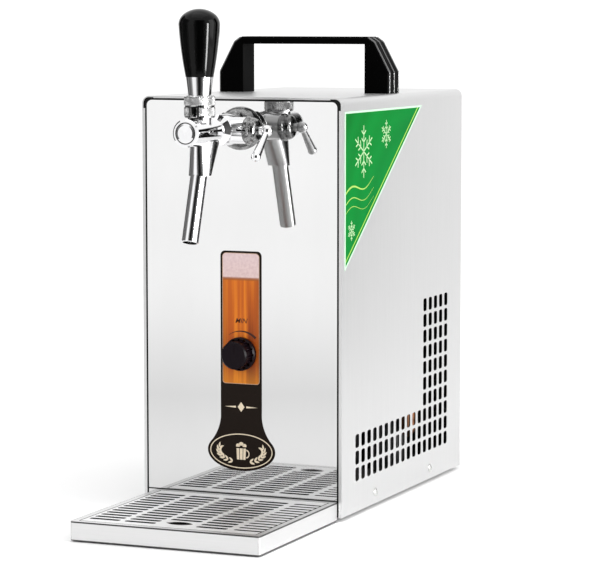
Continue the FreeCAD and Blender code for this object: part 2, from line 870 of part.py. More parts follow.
def power_screw_rods(name, radius, length):
    """Rods forwards at the power inlet's two screws."""
    flange_back = REAR + S.pan_sheet
    return [rod(f"{name}_{side}", radius, length, S.inlet_power_x + offset, flange_back,
                S.inlet_power_z, "-y")
            for side, offset in (("left", -S.inlet_power_screws / 2), ("right", S.inlet_power_screws / 2))]


def screw(name, x, y, z, along):
    """A pan-head screw whose head seats at a point, with its shank pointing along a direction."""
    head_back = -S.screw_head_height
    profile = [(0, head_back), (S.screw_radius, head_back),
               (S.screw_head_radius, 0, S.screw_crown_radius, -S.screw_crown_height),
               (S.screw_radius, 0), (S.screw_radius, S.screw_length), (0, S.screw_length)]
    return turned(name, profile, x, y, z, along)


def case_screws():
    """Screws of the cover's sides, and of the rear panel and its power inlet."""
    cover = []
    for depth in (S.cover_screw_front, S.cover_screw_rear):
        for side, along in ((-HALF_WIDTH, "x"), (HALF_WIDTH, "-x")):
            cover.append(screw(f"cover_screw_{len(cover)}", side, FRONT + depth,
                               S.cover_screw_height, along))
    node(group("cover_screws", *cover), "cover_screws")
    rear = []
    for height in (S.rear_screw_low, S.rear_screw_high):
        for side in (-1, 1):
            rear.append(screw(f"rear_screw_{len(rear)}", side * (INSIDE - S.rear_lip / 2), REAR,
                              height, "-y"))
    for offset in (-S.inlet_power_screws / 2, S.inlet_power_screws / 2):
        rear.append(screw(f"rear_screw_{len(rear)}", S.inlet_power_x + offset, REAR + S.pan_sheet,
                          S.inlet_power_z, "-y"))
    node(group("rear_screws", *rear), "rear_screws")


def carry_handle():
    """The moulded bow handle, screwed on from inside the cover."""
    half_span, half_open = S.handle_span / 2, S.handle_opening / 2
    half_slant, half_flat = S.handle_slant_span / 2, S.handle_flat_span / 2
    opening_top = S.handle_height - S.handle_bar
    points = [(-half_span, 0), (-half_open, 0), (-half_open, opening_top), (half_open, opening_top),
              (half_open, 0), (half_span, 0), (half_span, S.handle_shoulder),
              (half_slant, S.handle_slant_height), (half_flat, S.handle_height),
              (-half_flat, S.handle_height), (-half_slant, S.handle_slant_height),
              (-half_span, S.handle_shoulder)]
    body = plate("handle_bow", points, S.handle_width, 0, MIDDLE + S.handle_width / 2, TOP, "-y")

    def outer_rim(middle, along):
        outside = abs(middle.x) > float(half_open) + OVERRUN or middle.y > float(opening_top) + OVERRUN
        return outside and abs(along.z) < 1 - PARALLEL and middle.y > OVERRUN

    soften(body, "Chamfer", S.handle_edge, outer_rim)
    holes = handle_screw_rods("handle_hole", S.handle_screw_radius, 0)
    node(cut("carry_handle", body, *holes), "carry_handle")
    head_radius = S.handle_screw_head_radius
    head = S.handle_screw_head
    leg = (S.handle_span + S.handle_opening) / 4
    clear = S.fit_clearance / 2
    profile = [(0, -head), (head_radius, -head), (head_radius, 0), (S.handle_screw_radius - clear, 0),
               (S.handle_screw_radius - clear, S.handle_screw_length - clear),
               (0, S.handle_screw_length - clear)]
    screws = [turned(f"handle_screw_{number}", profile, side * leg, MIDDLE, TOP - S.sheet)
              for number, side in enumerate((-1, 1))]
    node(group("handle_screws", *screws), "handle_screws")


def labels():
    """The raised front label with its oval foot, and the triangular side sticker."""
    half = S.label_width / 2
    waist = S.label_bottom + S.label_corner
    strip = rounded_box("label_strip", (-half, half), (0, S.label_top - waist), (0, S.label_thickness),
                        S.label_corner, 2, lambda middle: middle.y > OVERRUN)
    stand_up(strip, -half, waist)
    flare_out = 0.9 * S.label_oval_long
    flare_low = S.label_oval_height + 0.43 * S.label_oval_short
    bend_x, bend_z = half + 0.2 * (flare_out - half), S.label_bottom - 0.25 * (S.label_bottom - flare_low)
    points = [(-half, waist), (-flare_out, flare_low, -bend_x, bend_z), (flare_out, flare_low),
              (half, waist, bend_x, bend_z)]
    flare = plate("label_flare", points, S.label_thickness, 0, FRONT, 0, "-y")
    oval = doc.addObject("Part::Ellipse", "label_oval_edge")
    bind(oval, "MajorRadius", S.label_oval_long)
    bind(oval, "MinorRadius", S.label_oval_short)
    place(oval, 0, FRONT, S.label_oval_height, "-y")
    foot = doc.addObject("Part::Extrusion", "label_oval")
    foot.Base = oval
    foot.DirMode = "Custom"
    foot.Dir = Vector(0, -1, 0)
    foot.Solid = True
    bind(foot, "LengthFwd", S.label_thickness)
    joined = fuse("label_joined", strip, flare, foot)
    hole = rod("label_hole", S.bushing_radius + S.fit_clearance, S.rear_lip,
               0, FRONT - S.rear_lip / 2, S.knob_height, "y")
    node(cut("front_label", joined, hole), "front_label")
    high = TOP - S.sticker_top_gap
    front = FRONT + S.sticker_inset
    sticker = plate("sticker_plate", [(0, 0), (0, -S.sticker_drop), (S.sticker_length, 0)],
                    S.sticker_thickness, HALF_WIDTH, front, high)
    sticker.Placement = FreeCAD.Placement(Vector(), Rotation(Vector(1, 1, 1), 120))
    node(sticker, "side_sticker")


def stand_up(body, x, z):
    """Stand a plate that was drawn flat against the front panel."""
    body.Placement = FreeCAD.Placement(Vector(), ALONG["-y"])
    bind(body, "Placement.Base.x", x)
    bind(body, "Placement.Base.y", FRONT)
    bind(body, "Placement.Base.z", z)


# Thermostat
def thermostat():
    """The capillary thermostat behind the panel, its nut, spindle and fluted knob."""
    half = S.thermostat_width / 2
    back = FRONT + S.sheet
    case = box("thermostat_case", (-half, half), (back, back + S.thermostat_depth),
               (S.knob_height - S.thermostat_height / 2, S.knob_height + S.thermostat_height / 2))
    bushing = rod("thermostat_bushing", S.bushing_radius, S.sheet + S.bushing_reach + OVERRUN,
                  0, back + OVERRUN, S.knob_height, "-y")
    bore = rod("thermostat_bore", S.spindle_radius + S.fit_clearance, S.thermostat_depth,
               0, back + S.thermostat_depth / 2, S.knob_height, "-y")
    node(cut("thermostat_body", fuse("thermostat_joined", case, bushing), bore), "thermostat_body")
    nut_y = FRONT - S.label_thickness
    nut = hexagon("panel_nut_hex", S.panel_nut_radius, S.panel_nut_depth, 0, nut_y, S.knob_height, "-y")
    nut_bore = rod("panel_nut_bore", S.bushing_radius + S.fit_clearance / 2, S.rear_lip,
                   0, nut_y + OVERRUN, S.knob_height, "-y")
    node(cut("thermostat_nut", nut, nut_bore), "thermostat_nut")
    face = FRONT - S.knob_reach
    spindle_end = S.knob_reach - S.knob_front_wall
    node(rod("thermostat_spindle", S.spindle_radius, spindle_end + S.thermostat_depth / 3,
             0, FRONT + S.thermostat_depth / 3, S.knob_height, "-y"), "thermostat_spindle")
    skirt_start = S.label_thickness + S.running_clearance
    hollow = S.panel_nut_radius + S.knob_hollow_gap
    hollow_end = S.bushing_reach + S.knob_hollow_gap
    shoulder = S.knob_skirt_depth
    edge = S.knob_edge
    bore_end = spindle_end + S.running_clearance
    bore_radius = S.spindle_radius + S.fit_clearance / 2
    profile = [(hollow, skirt_start), (S.knob_skirt_radius, skirt_start),
               (S.knob_skirt_radius, shoulder - edge), (S.knob_skirt_radius - edge, shoulder),
               (S.knob_grip_radius, shoulder), (S.knob_grip_radius, S.knob_reach - edge),
               (S.knob_grip_radius - edge, S.knob_reach), (0, S.knob_reach), (0, bore_end),
               (bore_radius, bore_end), (bore_radius, hollow_end), (hollow, hollow_end)]
    knob = turned("knob_blank", profile, 0, FRONT, S.knob_height, "-y")
    circle = knob.newObject("Sketcher::SketchObject", "flute_sketch")
    circle.AttachmentSupport = [(origin_plane(knob, "XY_Plane"), "")]
    circle.MapMode = "FlatFace"
    ring = S.knob_grip_radius + S.flute_radius / 2
    circle.addGeometry(Part.Circle(Vector(0, float(ring), 0), Vector(0, 0, 1), float(S.flute_radius)), False)
    across = circle.addConstraint(Sketcher.Constraint("DistanceX", -1, 1, 0, 3, 0.0))
    upward = circle.addConstraint(Sketcher.Constraint("DistanceY", -1, 1, 0, 3, float(ring)))
    wide = circle.addConstraint(Sketcher.Constraint("Radius", 0, float(S.flute_radius)))
    bind(circle, f"Constraints[{across}]", 0)
    bind(circle, f"Constraints[{upward}]", ring)
    bind(circle, f"Constraints[{wide}]", S.flute_radius)
    doc.recompute()
    flute = knob.newObject("PartDesign::Pocket", "flute")
    flute.Profile = circle
    flute.Reversed = True
    bind(flute, "Length", S.knob_reach - edge)
    spread = knob.newObject("PartDesign::PolarPattern", "flutes")
    spread.Originals = [flute]
    spread.Axis = (circle, ["N_Axis"])
    spread.Angle = 360
    bind(spread, "Occurrences", S.knob_flutes)
    knob.Tip = spread
    before = knob.Shape.Volume
    doc.recompute()
    if knob.Shape.Volume >= before:
        raise RuntimeError("the knob's flutes cut nothing")
    pointer = box("knob_pointer", (-S.pointer_width / 2, S.pointer_width / 2),
                  (face - S.pointer_rise, face + OVERRUN),
                  (S.knob_height + S.spindle_radius, S.knob_height + S.knob_grip_radius - 2 * edge))
    node(fuse("thermostat_knob", knob, pointer), "thermostat_knob")


# Drip tray
def tray_inset(name, inset, z):
    """A block inside the tray, in from its outer wall by an inset."""
    half = S.tray_width / 2 - inset
    return box(name, (S.tray_offset - half, S.tray_offset + half),
               (TRAY_FRONT + inset, TRAY_BACK - inset), z)


def drip_tray():
    """The steel tray on four pads, with a rim and a ledge that the grille drops into."""
    grille_under = S.tray_height - S.grille_sheet
    ledge_under = grille_under - S.grille_sheet
    bottom = S.tray_pad_height
    half = S.tray_width / 2
    outer = rounded_box("tray_outer", (S.tray_offset - half, S.tray_offset + half),
                        (TRAY_FRONT, TRAY_BACK), (bottom, S.tray_height), S.tray_corner, 2)
    basin = tray_inset("tray_basin", S.tray_wall, (bottom + S.tray_wall, ledge_under))
    ledge = tray_inset("tray_ledge_hole", S.tray_rim + S.tray_ledge, (ledge_under - OVERRUN, grille_under))
    seat = tray_inset("tray_seat", S.tray_rim, (grille_under, S.tray_height + OVERRUN))
    node(cut("tray_body", outer, basin, ledge, seat), "tray_body")
    middle_y = (TRAY_FRONT + TRAY_BACK) / 2
    plate_block = tray_inset("grille_plate", S.tray_rim + S.grille_clearance,
                             (grille_under, S.tray_height))
    node(cut("tray_grille", plate_block, grille_cutter()), "tray_grille")
    pads = []
    for side in (-1, 1):
        for end in (-1, 1):
            pads.append(rod(f"tray_pad_{len(pads)}", S.tray_pad_radius, S.tray_pad_height,
                            S.tray_offset + side * (half - 2 * S.tray_pad_radius),
                            middle_y + end * (S.tray_depth / 2 - 2 * S.tray_pad_radius), 0))
    node(group("tray_pads", *pads), "tray_pads")


def grille_cutter():
    """Rows of slots, with a lens-shaped finger hole in place of the middle column's front ones."""
    slot = rounded_slot(S.grille_slot_length.value, S.grille_slot_width.value,
                        SLOT_CORNER * S.grille_slot_width.value, 4 * S.grille_sheet.value)
    middle = (S.grille_columns.value - 1) / 2
    centre = S.tray_offset.value + S.grille_shift.value
    hole_y = TRAY_FRONT.value + S.finger_hole_setback.value
    keep_clear = (S.finger_hole_width.value + S.grille_slot_width.value) / 2 + S.grille_sheet.value
    prisms = []
    for column in range(int(S.grille_columns.value)):
        for row in range(int(S.grille_rows.value)):
            x = centre + (column - middle) * S.grille_column_pitch.value
            y = TRAY_FRONT.value + S.grille_front_margin.value + row * S.grille_row_pitch.value
            if column == middle and abs(y - hole_y) < keep_clear:
                continue
            prisms.append(slot.translated(Vector(x, y, S.tray_height.value)))
    prisms.append(lens_prism(centre, hole_y))
    return coded("grille_cutter", Part.makeCompound(prisms))


def lens_prism(x, y):
    """The space shared by two upright cylinders, pointed at both ends."""
    half_length = S.finger_hole_length.value / 2
    half_width = S.finger_hole_width.value / 2
    radius = (half_length ** 2 + half_width ** 2) / (2 * half_width)
    low = S.tray_height.value - 2 * S.grille_sheet.value
    high = 4 * S.grille_sheet.value
    first = Part.makeCylinder(radius, high, Vector(x, y - radius + half_width, low))
    second = Part.makeCylinder(radius, high, Vector(x, y + radius - half_width, low))
    return first.common(second)


# Tap
def tap_body():
    """The cast tap body: barrel, neck, compensator chamber, side boss and spout."""
    z = S.tap_height
    front = FRONT - S.tap_reach
    barrel_length = S.tap_reach - S.barrel_start
    barrel = turned("tap_barrel", [(0, 0), (S.barrel_radius - S.barrel_chamfer, 0),
                                   (S.barrel_radius, S.barrel_chamfer),
                                   (S.barrel_radius, barrel_length - 2 * S.barrel_chamfer),
                                   (S.neck_radius, barrel_length), (0, barrel_length)],
                    0, front, z, "y")
    neck = rod("tap_neck", S.neck_radius, S.barrel_start - S.chamber_start, 0,
               FRONT - S.barrel_start - OVERRUN, z, "y")
    chamber_length = S.chamber_end - S.chamber_start
    shoulder = 2.5 * S.barrel_chamfer
    chamber = turned("tap_chamber", [(0, 0), (S.neck_radius, 0), (S.chamber_radius, shoulder),
                                     (S.chamber_radius, chamber_length - S.barrel_chamfer),
                                     (S.chamber_radius - S.barrel_chamfer, chamber_length),
                                     (0, chamber_length)],
                     0, FRONT - S.chamber_end, z, "y")
    boss_y = FRONT - S.compensator_depth
    boss = turned("tap_boss", [(0, 0), (S.boss_radius, 0), (S.boss_radius, S.boss_length - S.boss_edge),
                               (S.boss_radius - S.boss_edge, S.boss_length), (0, S.boss_length)],
                  0, boss_y, z, "x")
    lever_boss = rod("tap_lever_boss", S.lever_boss_radius, S.lever_boss_top - z, 0, LEVER_Y, z)
    solid = fuse("tap_solid", barrel, neck, chamber, boss, lever_boss, tap_spout())
    bore_depth = S.tap_reach - S.seat_depth - S.seat_width / 2
    chamber_bore_start = S.seat_depth - S.seat_width / 2
    tools = [
        rod("tap_piston_bore", S.piston_bore, bore_depth + OVERRUN, 0, front - OVERRUN, z, "y"),
        rod("tap_seat_bore", S.seat_bore, 4 * S.seat_width, 0,
            FRONT - S.seat_depth - 2 * S.seat_width, z, "y"),
        rod("tap_chamber_bore", S.chamber_bore, chamber_bore_start, 0, FRONT - chamber_bore_start, z, "y"),
        rod("tap_shank_socket", S.shank_radius + S.fit_clearance / 2, S.chamber_start, 0,
            FRONT - S.coupling_front, z, "y"),
        rod("tap_cap_socket", S.cap_radius + S.cap_seal_width, S.cap_depth + OVERRUN,
            0, front - OVERRUN, z, "y"),
        rod("tap_shaft_bore", S.compensator_shaft_radius + S.fit_clearance, 2 * S.boss_length,
            0, boss_y, z, "x"),
        ball("tap_ball_socket", S.pivot_ball_radius + S.fit_clearance, 0, LEVER_Y, S.pivot_height),
        box("tap_lever_slot_low", (-S.lever_slot, S.lever_slot),
            (LEVER_Y - S.lever_slot, LEVER_Y + 2 * S.lever_slot), (z, S.pivot_height)),
        box("tap_lever_slot_high", (-S.lever_slot, S.lever_slot),
            (LEVER_Y - 2 * S.lever_boss_radius, LEVER_Y + S.lever_slot),
            (S.pivot_height + S.lever_slot_rise, S.lever_boss_top + OVERRUN)),
        rod("tap_spout_bore", S.seat_bore, z - S.spout_bottom - S.nozzle_socket / 2, 0, LEVER_Y,
            S.spout_bottom + S.nozzle_socket / 2),
        nozzle_rod("tap_nozzle_socket", S.nozzle_radius + S.fit_clearance / 2, S.nozzle_socket + 4 * OVERRUN),
    ]
    node(cut("tap_body", solid, *tools), "tap_body")


def tap_spout():
    """The spout cone, long from front to back where it leaves the barrel and round at its end."""
    low = doc.addObject("Part::Circle", "spout_low")
    bind(low, "Radius", S.spout_end_radius)
    place(low, 0, LEVER_Y, S.spout_bottom)
    high = doc.addObject("Part::Ellipse", "spout_high")
    bind(high, "MajorRadius", S.spout_top_length)
    bind(high, "MinorRadius", S.spout_top_width)
    high.Placement = FreeCAD.Placement(Vector(), Rotation(Vector(0, 0, 1), 90))
    bind(high, "Placement.Base.y", LEVER_Y + S.spout_top_shift)
    bind(high, "Placement.Base.z", S.spout_top)
    spout = doc.addObject("Part::Loft", "spout_cone")
    spout.Sections = [low, high]
    spout.Solid = True
    spout.Ruled = True
    return spout


def nozzle_rod(name, radius, length):
    """A rod along the nozzle's tilted axis, ending at its socket's top."""
    made = doc.addObject("Part::Cylinder", name)
    bind(made, "Radius", radius)
    bind(made, "Height", length)
    tilt_nozzle(made)
    return made


def tilt_nozzle(item):
    """Hang a piece from the socket's top, pointing down and a little forward."""
    place(item, 0, LEVER_Y, S.spout_bottom + S.nozzle_socket)
    item.Placement = FreeCAD.Placement(Vector(), Rotation(Vector(1, 0, 0), 180 - S.nozzle_tilt.value))
    bind(item, "Placement.Rotation.Angle", 180 - S.nozzle_tilt)


def tap_front_cap():
    """The screwed front cap and the black seal ring round it."""
    z = S.tap_height
    front = FRONT - S.tap_reach
    cap = turned("cap_disc", [(0, -S.cap_bulge), (S.cap_radius - S.cap_edge, 0.1 - S.cap_bulge),
                              (S.cap_radius, 0), (S.cap_radius, S.cap_depth), (0, S.cap_depth)],
                 0, front, z, "y")
    node(cap, "tap_front_cap")
    clear = S.fit_clearance / 2
    outer = S.cap_radius + S.cap_seal_width - clear
    inner = S.cap_radius + clear
    seal = turned("cap_ring", [(inner, S.cap_seal_setback), (outer, S.cap_seal_setback),
                               (outer, S.cap_depth), (inner, S.cap_depth)],
                  0, front, z, "y")
    node(seal, "front_cap_seal")


def nozzle():
    """The drawn steel spout tube."""
    inner = S.nozzle_radius - S.nozzle_wall
    length = S.nozzle_length + S.nozzle_socket
    lip = S.nozzle_lip
    tube = turned("nozzle_tube", [(inner, 0), (S.nozzle_radius, 0), (S.nozzle_radius, length - lip),
                                  (S.nozzle_radius - lip, length), (inner, length)], 0, 0, 0)
    tilt_nozzle(tube)
    node(tube, "spout_nozzle")


def lever():
    """Bonnet nut, ball-ended stem, cup-shaped collar, ferrule and grip."""
    dome = ball("bonnet_dome", S.cup_radius, 0, LEVER_Y, S.pivot_height)
    nut_height = S.cup_radius + S.pivot_height - S.bonnet_bottom
    blank = rod("bonnet_blank", S.collar_radius, nut_height, 0, LEVER_Y, S.bonnet_bottom)
    slot_front = LEVER_Y - 2 * S.lever_boss_radius
    tools = [
        rod("bonnet_thread", S.lever_boss_radius + S.fit_clearance / 2,
            S.lever_boss_top - S.bonnet_bottom + S.fit_clearance + OVERRUN,
            0, LEVER_Y, S.bonnet_bottom - OVERRUN),
        box("bonnet_slot", (-S.lever_slot, S.lever_slot), (slot_front, LEVER_Y + S.lever_slot),
            (S.lever_boss_top - OVERRUN, TOP + S.cup_radius)),
    ]
    node(cut("bonnet_nut", common("bonnet_domed", blank, dome), *tools), "bonnet_nut")

    stem_top = S.grip_bottom + S.pivot_ball_radius
    tip_z = S.pivot_height - S.stem_tip_drop
    stem = rod("stem_rod", S.stem_radius, stem_top - S.pivot_height, 0, LEVER_Y, S.pivot_height)
    finger = rod("stem_finger", 0.7 * S.stem_tip_radius, S.stem_tip_drop, 0, LEVER_Y, tip_z)
    tip = ball("stem_tip", S.stem_tip_radius, 0, LEVER_Y, tip_z)
    pivot = ball("stem_ball", S.pivot_ball_radius, 0, LEVER_Y, S.pivot_height)
    node(fuse("lever_stem", stem, finger, tip, pivot), "lever_stem")

    edge = S.collar_edge
    bore = S.stem_radius + S.fit_clearance / 2
    height = S.collar_top - S.collar_bottom
    collar = turned("collar_blank", [(bore, 0), (S.collar_radius, 0), (S.collar_radius, height - edge),
                                     (S.collar_radius - edge, height), (bore, height)],
                    0, LEVER_Y, S.collar_bottom)
    cup = ball("collar_cup", S.cup_radius + S.cup_clearance, 0, LEVER_Y, S.pivot_height)
    node(cut("lever_collar", collar, cup), "lever_collar")

    ferrule_height = S.grip_bottom - S.collar_top
    ferrule = turned("ferrule_blank", [(bore, 0), (S.ferrule_bottom_radius, 0),
                                       (S.grip_bottom_radius, ferrule_height), (bore, ferrule_height)],
                     0, LEVER_Y, S.collar_top)
    node(ferrule, "grip_ferrule")

    wide = S.grip_wide_height - S.grip_bottom
    top = S.grip_top - S.grip_bottom
    crown = top - wide
    swell = S.grip_wide_radius - S.grip_bottom_radius
    socket = S.pivot_ball_radius + S.fit_clearance
    side_mid = (S.grip_bottom_radius + 0.63 * swell, 0.5 * wide)
    shoulder_mid = (0.924 * S.grip_wide_radius, wide + 0.383 * crown)
    shoulder_end = (0.707 * S.grip_wide_radius, wide + 0.707 * crown)
    crown_mid = (0.383 * S.grip_wide_radius, wide + 0.924 * crown)
    crown_flat = 0.05 * S.grip_wide_radius
    grip = turned("grip_blank", [(bore, 0), (S.grip_bottom_radius, 0),
                                 (S.grip_wide_radius, wide, *side_mid),
                                 (*shoulder_end, *shoulder_mid),
                                 (crown_flat, top, *crown_mid), (0, top), (0, socket), (bore, socket)],
                  0, LEVER_Y, S.grip_bottom)
    node(grip, "lever_grip")


def valve():
    """The valve piston that the lever's tip drives, and its rubber seal."""
    z = S.tap_height
    start = FRONT - S.piston_land_start
    land = S.piston_land_start - S.piston_land_end
    clear = S.fit_clearance
    neck = S.piston_land_start - S.seat_depth - 2 * S.seat_width
    head = S.piston_land_start - S.seat_depth + S.seat_width / 2 + S.seal_thickness
    end = head + S.piston_head_length
    land_radius = S.piston_bore - clear
    profile = [(0, 0), (land_radius, 0), (land_radius, land), (S.piston_rod_radius, land),
               (S.piston_rod_radius, neck), (S.piston_neck_radius, neck), (S.piston_neck_radius, head),
               (S.piston_head_radius, head), (S.piston_head_radius, end), (0, end)]
    blank = turned("piston_blank", profile, 0, start, z, "y")
    tip_z = S.pivot_height - S.stem_tip_drop
    slot = box("piston_slot_cut", (-S.piston_rod_radius, S.piston_rod_radius),
               (LEVER_Y - S.piston_slot, LEVER_Y + S.piston_slot),
               (tip_z - S.stem_tip_radius - S.running_clearance, z + S.piston_bore))
    ball_under = S.pivot_height - S.pivot_ball_radius - S.running_clearance
    flat = box("piston_flat_cut", (-S.piston_rod_radius, S.piston_rod_radius),
               (LEVER_Y - S.piston_flat_front, LEVER_Y + S.piston_flat_rear),
               (ball_under, z + S.piston_bore))
    node(cut("valve_piston", blank, slot, flat), "valve_piston")
    seal_inner = S.piston_neck_radius + clear / 2
    face = S.piston_land_start - S.seat_depth + S.seat_width / 2
    seal = turned("seal_blank", [(seal_inner, face), (S.piston_head_radius, face),
                                 (S.piston_head_radius, head), (seal_inner, head)],
                  0, start, z, "y")
    node(seal, "valve_seal")


def compensator():
    """The flow compensator: shaft with an eccentric pin, cone, gland cap and ball lever."""
    z = S.tap_height
    y = FRONT - S.compensator_depth
    shaft_start = S.cone_large_radius + S.running_clearance
    hub = S.compensator_hub_reach
    shaft = rod("shaft_rod", S.compensator_shaft_radius, hub - shaft_start, shaft_start, y, z, "x")
    pin_start = -S.compensator_shaft_radius
    web = S.compensator_eccentric + S.compensator_pin_radius
    pin_length = shaft_start - pin_start + OVERRUN
    pin = rod("shaft_pin", S.compensator_pin_radius, pin_length, pin_start, y,
              z + S.compensator_eccentric, "x")
    node(fuse("compensator_shaft", shaft, pin), "compensator_shaft")
    length = S.cone_front - S.cone_rear
    blank = cone("cone_blank", S.cone_small_radius, S.cone_large_radius, length,
                 0, FRONT - S.cone_front, z, "y")
    slot_half = S.compensator_pin_radius + S.fit_clearance
    slot = box("cone_slot", (pin_start - slot_half, S.cone_large_radius + OVERRUN),
               (y - slot_half, y + slot_half), (z - web - slot_half, z + web + slot_half))
    node(cut("compensator_cone", blank, slot), "compensator_cone")
    cap_length = S.compensator_cap_end - S.boss_length
    bore = S.compensator_shaft_radius + S.fit_clearance
    rim = S.compensator_cap_rim
    step = S.compensator_cap_step
    cap = turned("gland_cap", [(bore, 0), (S.boss_radius + step, 0), (S.boss_radius + step, 2 * rim),
                               (S.boss_radius - step, 3 * rim),
                               (S.boss_radius / 2, cap_length, 0.86 * S.boss_radius, 0.83 * cap_length),
                               (bore, cap_length)],
                 S.boss_length, y, z, "x")
    node(cap, "compensator_cap")
    hub_ball = ball("hub_ball", S.compensator_hub_radius, hub, y, z)
    hub_neck = rod("hub_neck", S.compensator_neck_radius,
                   hub - S.compensator_cap_end - S.cup_clearance,
                   S.compensator_cap_end + S.cup_clearance, y, z, "x")
    arm = turned("lever_arm", [(0, 0), (S.compensator_rod_root, 0),
                               (S.compensator_rod_radius, S.compensator_rod_length),
                               (0, S.compensator_rod_length)], hub, y, z)
    tilt_arm(arm)
    tip = doc.addObject("Part::Sphere", "lever_tip")
    bind(tip, "Radius", S.compensator_tip_radius)
    tip_at = doc.addObject("Part::Compound", "lever_tip_turned")
    tip_at.Links = [tip]
    bind(tip, "Placement.Base.z", S.compensator_rod_length)
    place(tip_at, hub, y, z)
    tilt_arm(tip_at)
    solid = fuse("lever_solid", hub_ball, hub_neck, arm, tip_at)
    shaft_hole = rod("lever_shaft_hole", S.compensator_shaft_radius + S.fit_clearance / 2,
                     hub - S.compensator_cap_end + OVERRUN, hub, y, z, "-x")
    node(cut("compensator_lever", solid, shaft_hole), "compensator_lever")


def tilt_arm(item):
    """Point a piece forward and down, as the compensator's lever rests."""
    forward_down = Rotation(Vector(1, 0, 0), 90 + S.compensator_rest_angle.value)
    item.Placement = FreeCAD.Placement(item.Placement.Base, forward_down)
    bind(item, "Placement.Rotation.Angle", 90 + S.compensator_rest_angle)


def shank():
    """Coupling nut, rosette, threaded shank and its nut behind the panel."""
    z = S.tap_height
    bore = S.shank_radius + S.fit_clearance
    length = S.coupling_front - S.coupling_rear
    tail = S.coupling_front - S.chamber_start
    nut = hexagon("coupling_hex", S.coupling_hex_radius, length - tail, 0,
                  FRONT - S.coupling_rear, z, "-y")
    nut_edge = cone("coupling_edge", S.coupling_edge_wide, S.coupling_edge_narrow,
                    length - tail, 0, FRONT - S.coupling_rear, z, "-y")
    nut_bore = rod("coupling_bore", bore, 2 * length, 0, FRONT - S.coupling_rear + OVERRUN, z, "-y")
    node(cut("coupling_nut", common("coupling_faceted", nut, nut_edge), nut_bore), "coupling_nut")
    depth = S.rosette_depth
    rosette = turned("rosette_blank", [(bore, 0), (S.rosette_radius, 0), (S.rosette_radius, S.rosette_rim),
                                       (bore + S.rosette_nose, depth, 0.87 * S.rosette_radius, 0.62 * depth),
                                       (bore, depth)], 0, FRONT, z, "-y")
    node(rosette, "rosette")
    tube = turned("shank_tube", [(S.shank_bore, 0), (S.shank_radius, 0),
                                 (S.shank_radius, S.coupling_front + S.shank_inner_reach),
                                 (S.shank_bore, S.coupling_front + S.shank_inner_reach)],
                  0, FRONT - S.coupling_front, z, "y")
    node(tube, "tap_shank")
    nut_start = FRONT + S.sheet
    back_nut = hexagon("shank_nut_hex", S.shank_nut_radius, S.shank_nut_depth, 0, nut_start, z, "y")
    back_bore = rod("shank_nut_bore", S.shank_radius + S.fit_clearance / 2, 2 * S.shank_nut_depth,
                    0, nut_start - OVERRUN, z, "y")
    node(cut("shank_nut", back_nut, back_bore), "shank_nut")


# Beer path
def beer_path():
    """Inlet fitting with collet, inlet tube, cooling coil and outlet tube."""
    x, z = INLET_X, S.coil_bottom
    inside_reach = S.inlet_inside_reach
    fitting_length = S.fitting_reach + inside_reach
    step = S.inlet_bore - S.inlet_step
    collet_space = S.collet_radius + S.fit_clearance
    collet_depth = S.collet_space_depth
    collet_stand = S.collet_travel + S.collet_flange_depth
    body_length = fitting_length - collet_stand
    shoulder = S.fitting_reach - collet_stand
    collar = S.fitting_radius + S.fitting_collar
    collar_end = inside_reach + S.fitting_collar_depth
    profile = [(step, 0), (S.fitting_radius, 0), (S.fitting_radius, inside_reach),
               (collar, inside_reach), (collar, collar_end),
               (S.fitting_radius, collar_end + OVERRUN), (S.fitting_radius, body_length - S.fitting_edge),
               (S.fitting_radius - S.fitting_edge, body_length),
               (collet_space, body_length), (collet_space, body_length - collet_depth),
               (S.inlet_bore, body_length - collet_depth), (S.inlet_bore, body_length - S.inlet_socket_depth),
               (step, body_length - S.inlet_socket_depth)]
    node(turned("fitting_blank", profile, x, REAR - inside_reach, z, "y"), "inlet_fitting")
    nut = hexagon("inlet_nut_hex", S.inlet_nut_radius, S.inlet_nut_depth, x, REAR - S.sheet, z, "-y")
    nut_bore = rod("inlet_nut_bore", S.fitting_radius + S.fit_clearance / 2, 2 * S.inlet_nut_depth,
                   x, REAR, z, "-y")
    node(cut("inlet_nut", nut, nut_bore), "inlet_nut")
    clip = collet_depth - S.collet_travel - S.fitting_edge
    collet = turned("collet_blank", [(S.inlet_bore, shoulder - clip), (S.collet_radius, shoulder - clip),
                                     (S.collet_radius, shoulder + S.collet_travel),
                                     (S.collet_flange_radius, shoulder + S.collet_travel),
                                     (S.collet_flange_radius, shoulder + collet_stand),
                                     (S.inlet_bore, shoulder + collet_stand)],
                    x, REAR, z, "y")
    node(collet, "inlet_collet")
    radius = S.coil_tube_radius
    tube_end = REAR - inside_reach
    node(rod("inlet_tube_rod", radius, tube_end - CORE_Y, x, CORE_Y, z, "y"), "beer_inlet_tube")
    helix = Part.makeHelix(S.coil_pitch.value, S.coil_pitch.value * S.coil_turns.value, S.coil_radius.value)
    section = Part.Wire(Part.makeCircle(radius.value, Vector(S.coil_radius.value, 0, 0), Vector(0, 1, 0)))
    coil = coded("coil_tube", Part.Wire(helix.Edges).makePipeShell([section], True, True))
    node(place(coil, 0, CORE_Y, S.coil_bottom, "half turn"), "beer_coil")
    shank_end = FRONT + S.shank_inner_reach
    run = S.outlet_run
    outlet = bent_tube("outlet_tube", radius, S.outlet_bend,
                       [(x, CORE_Y, COIL_TOP), (x, shank_end + 1.2 * run, COIL_TOP),
                        (0, shank_end + 0.9 * run, S.tap_height), (0, shank_end, S.tap_height)])
    node(outlet, "beer_outlet_tube")


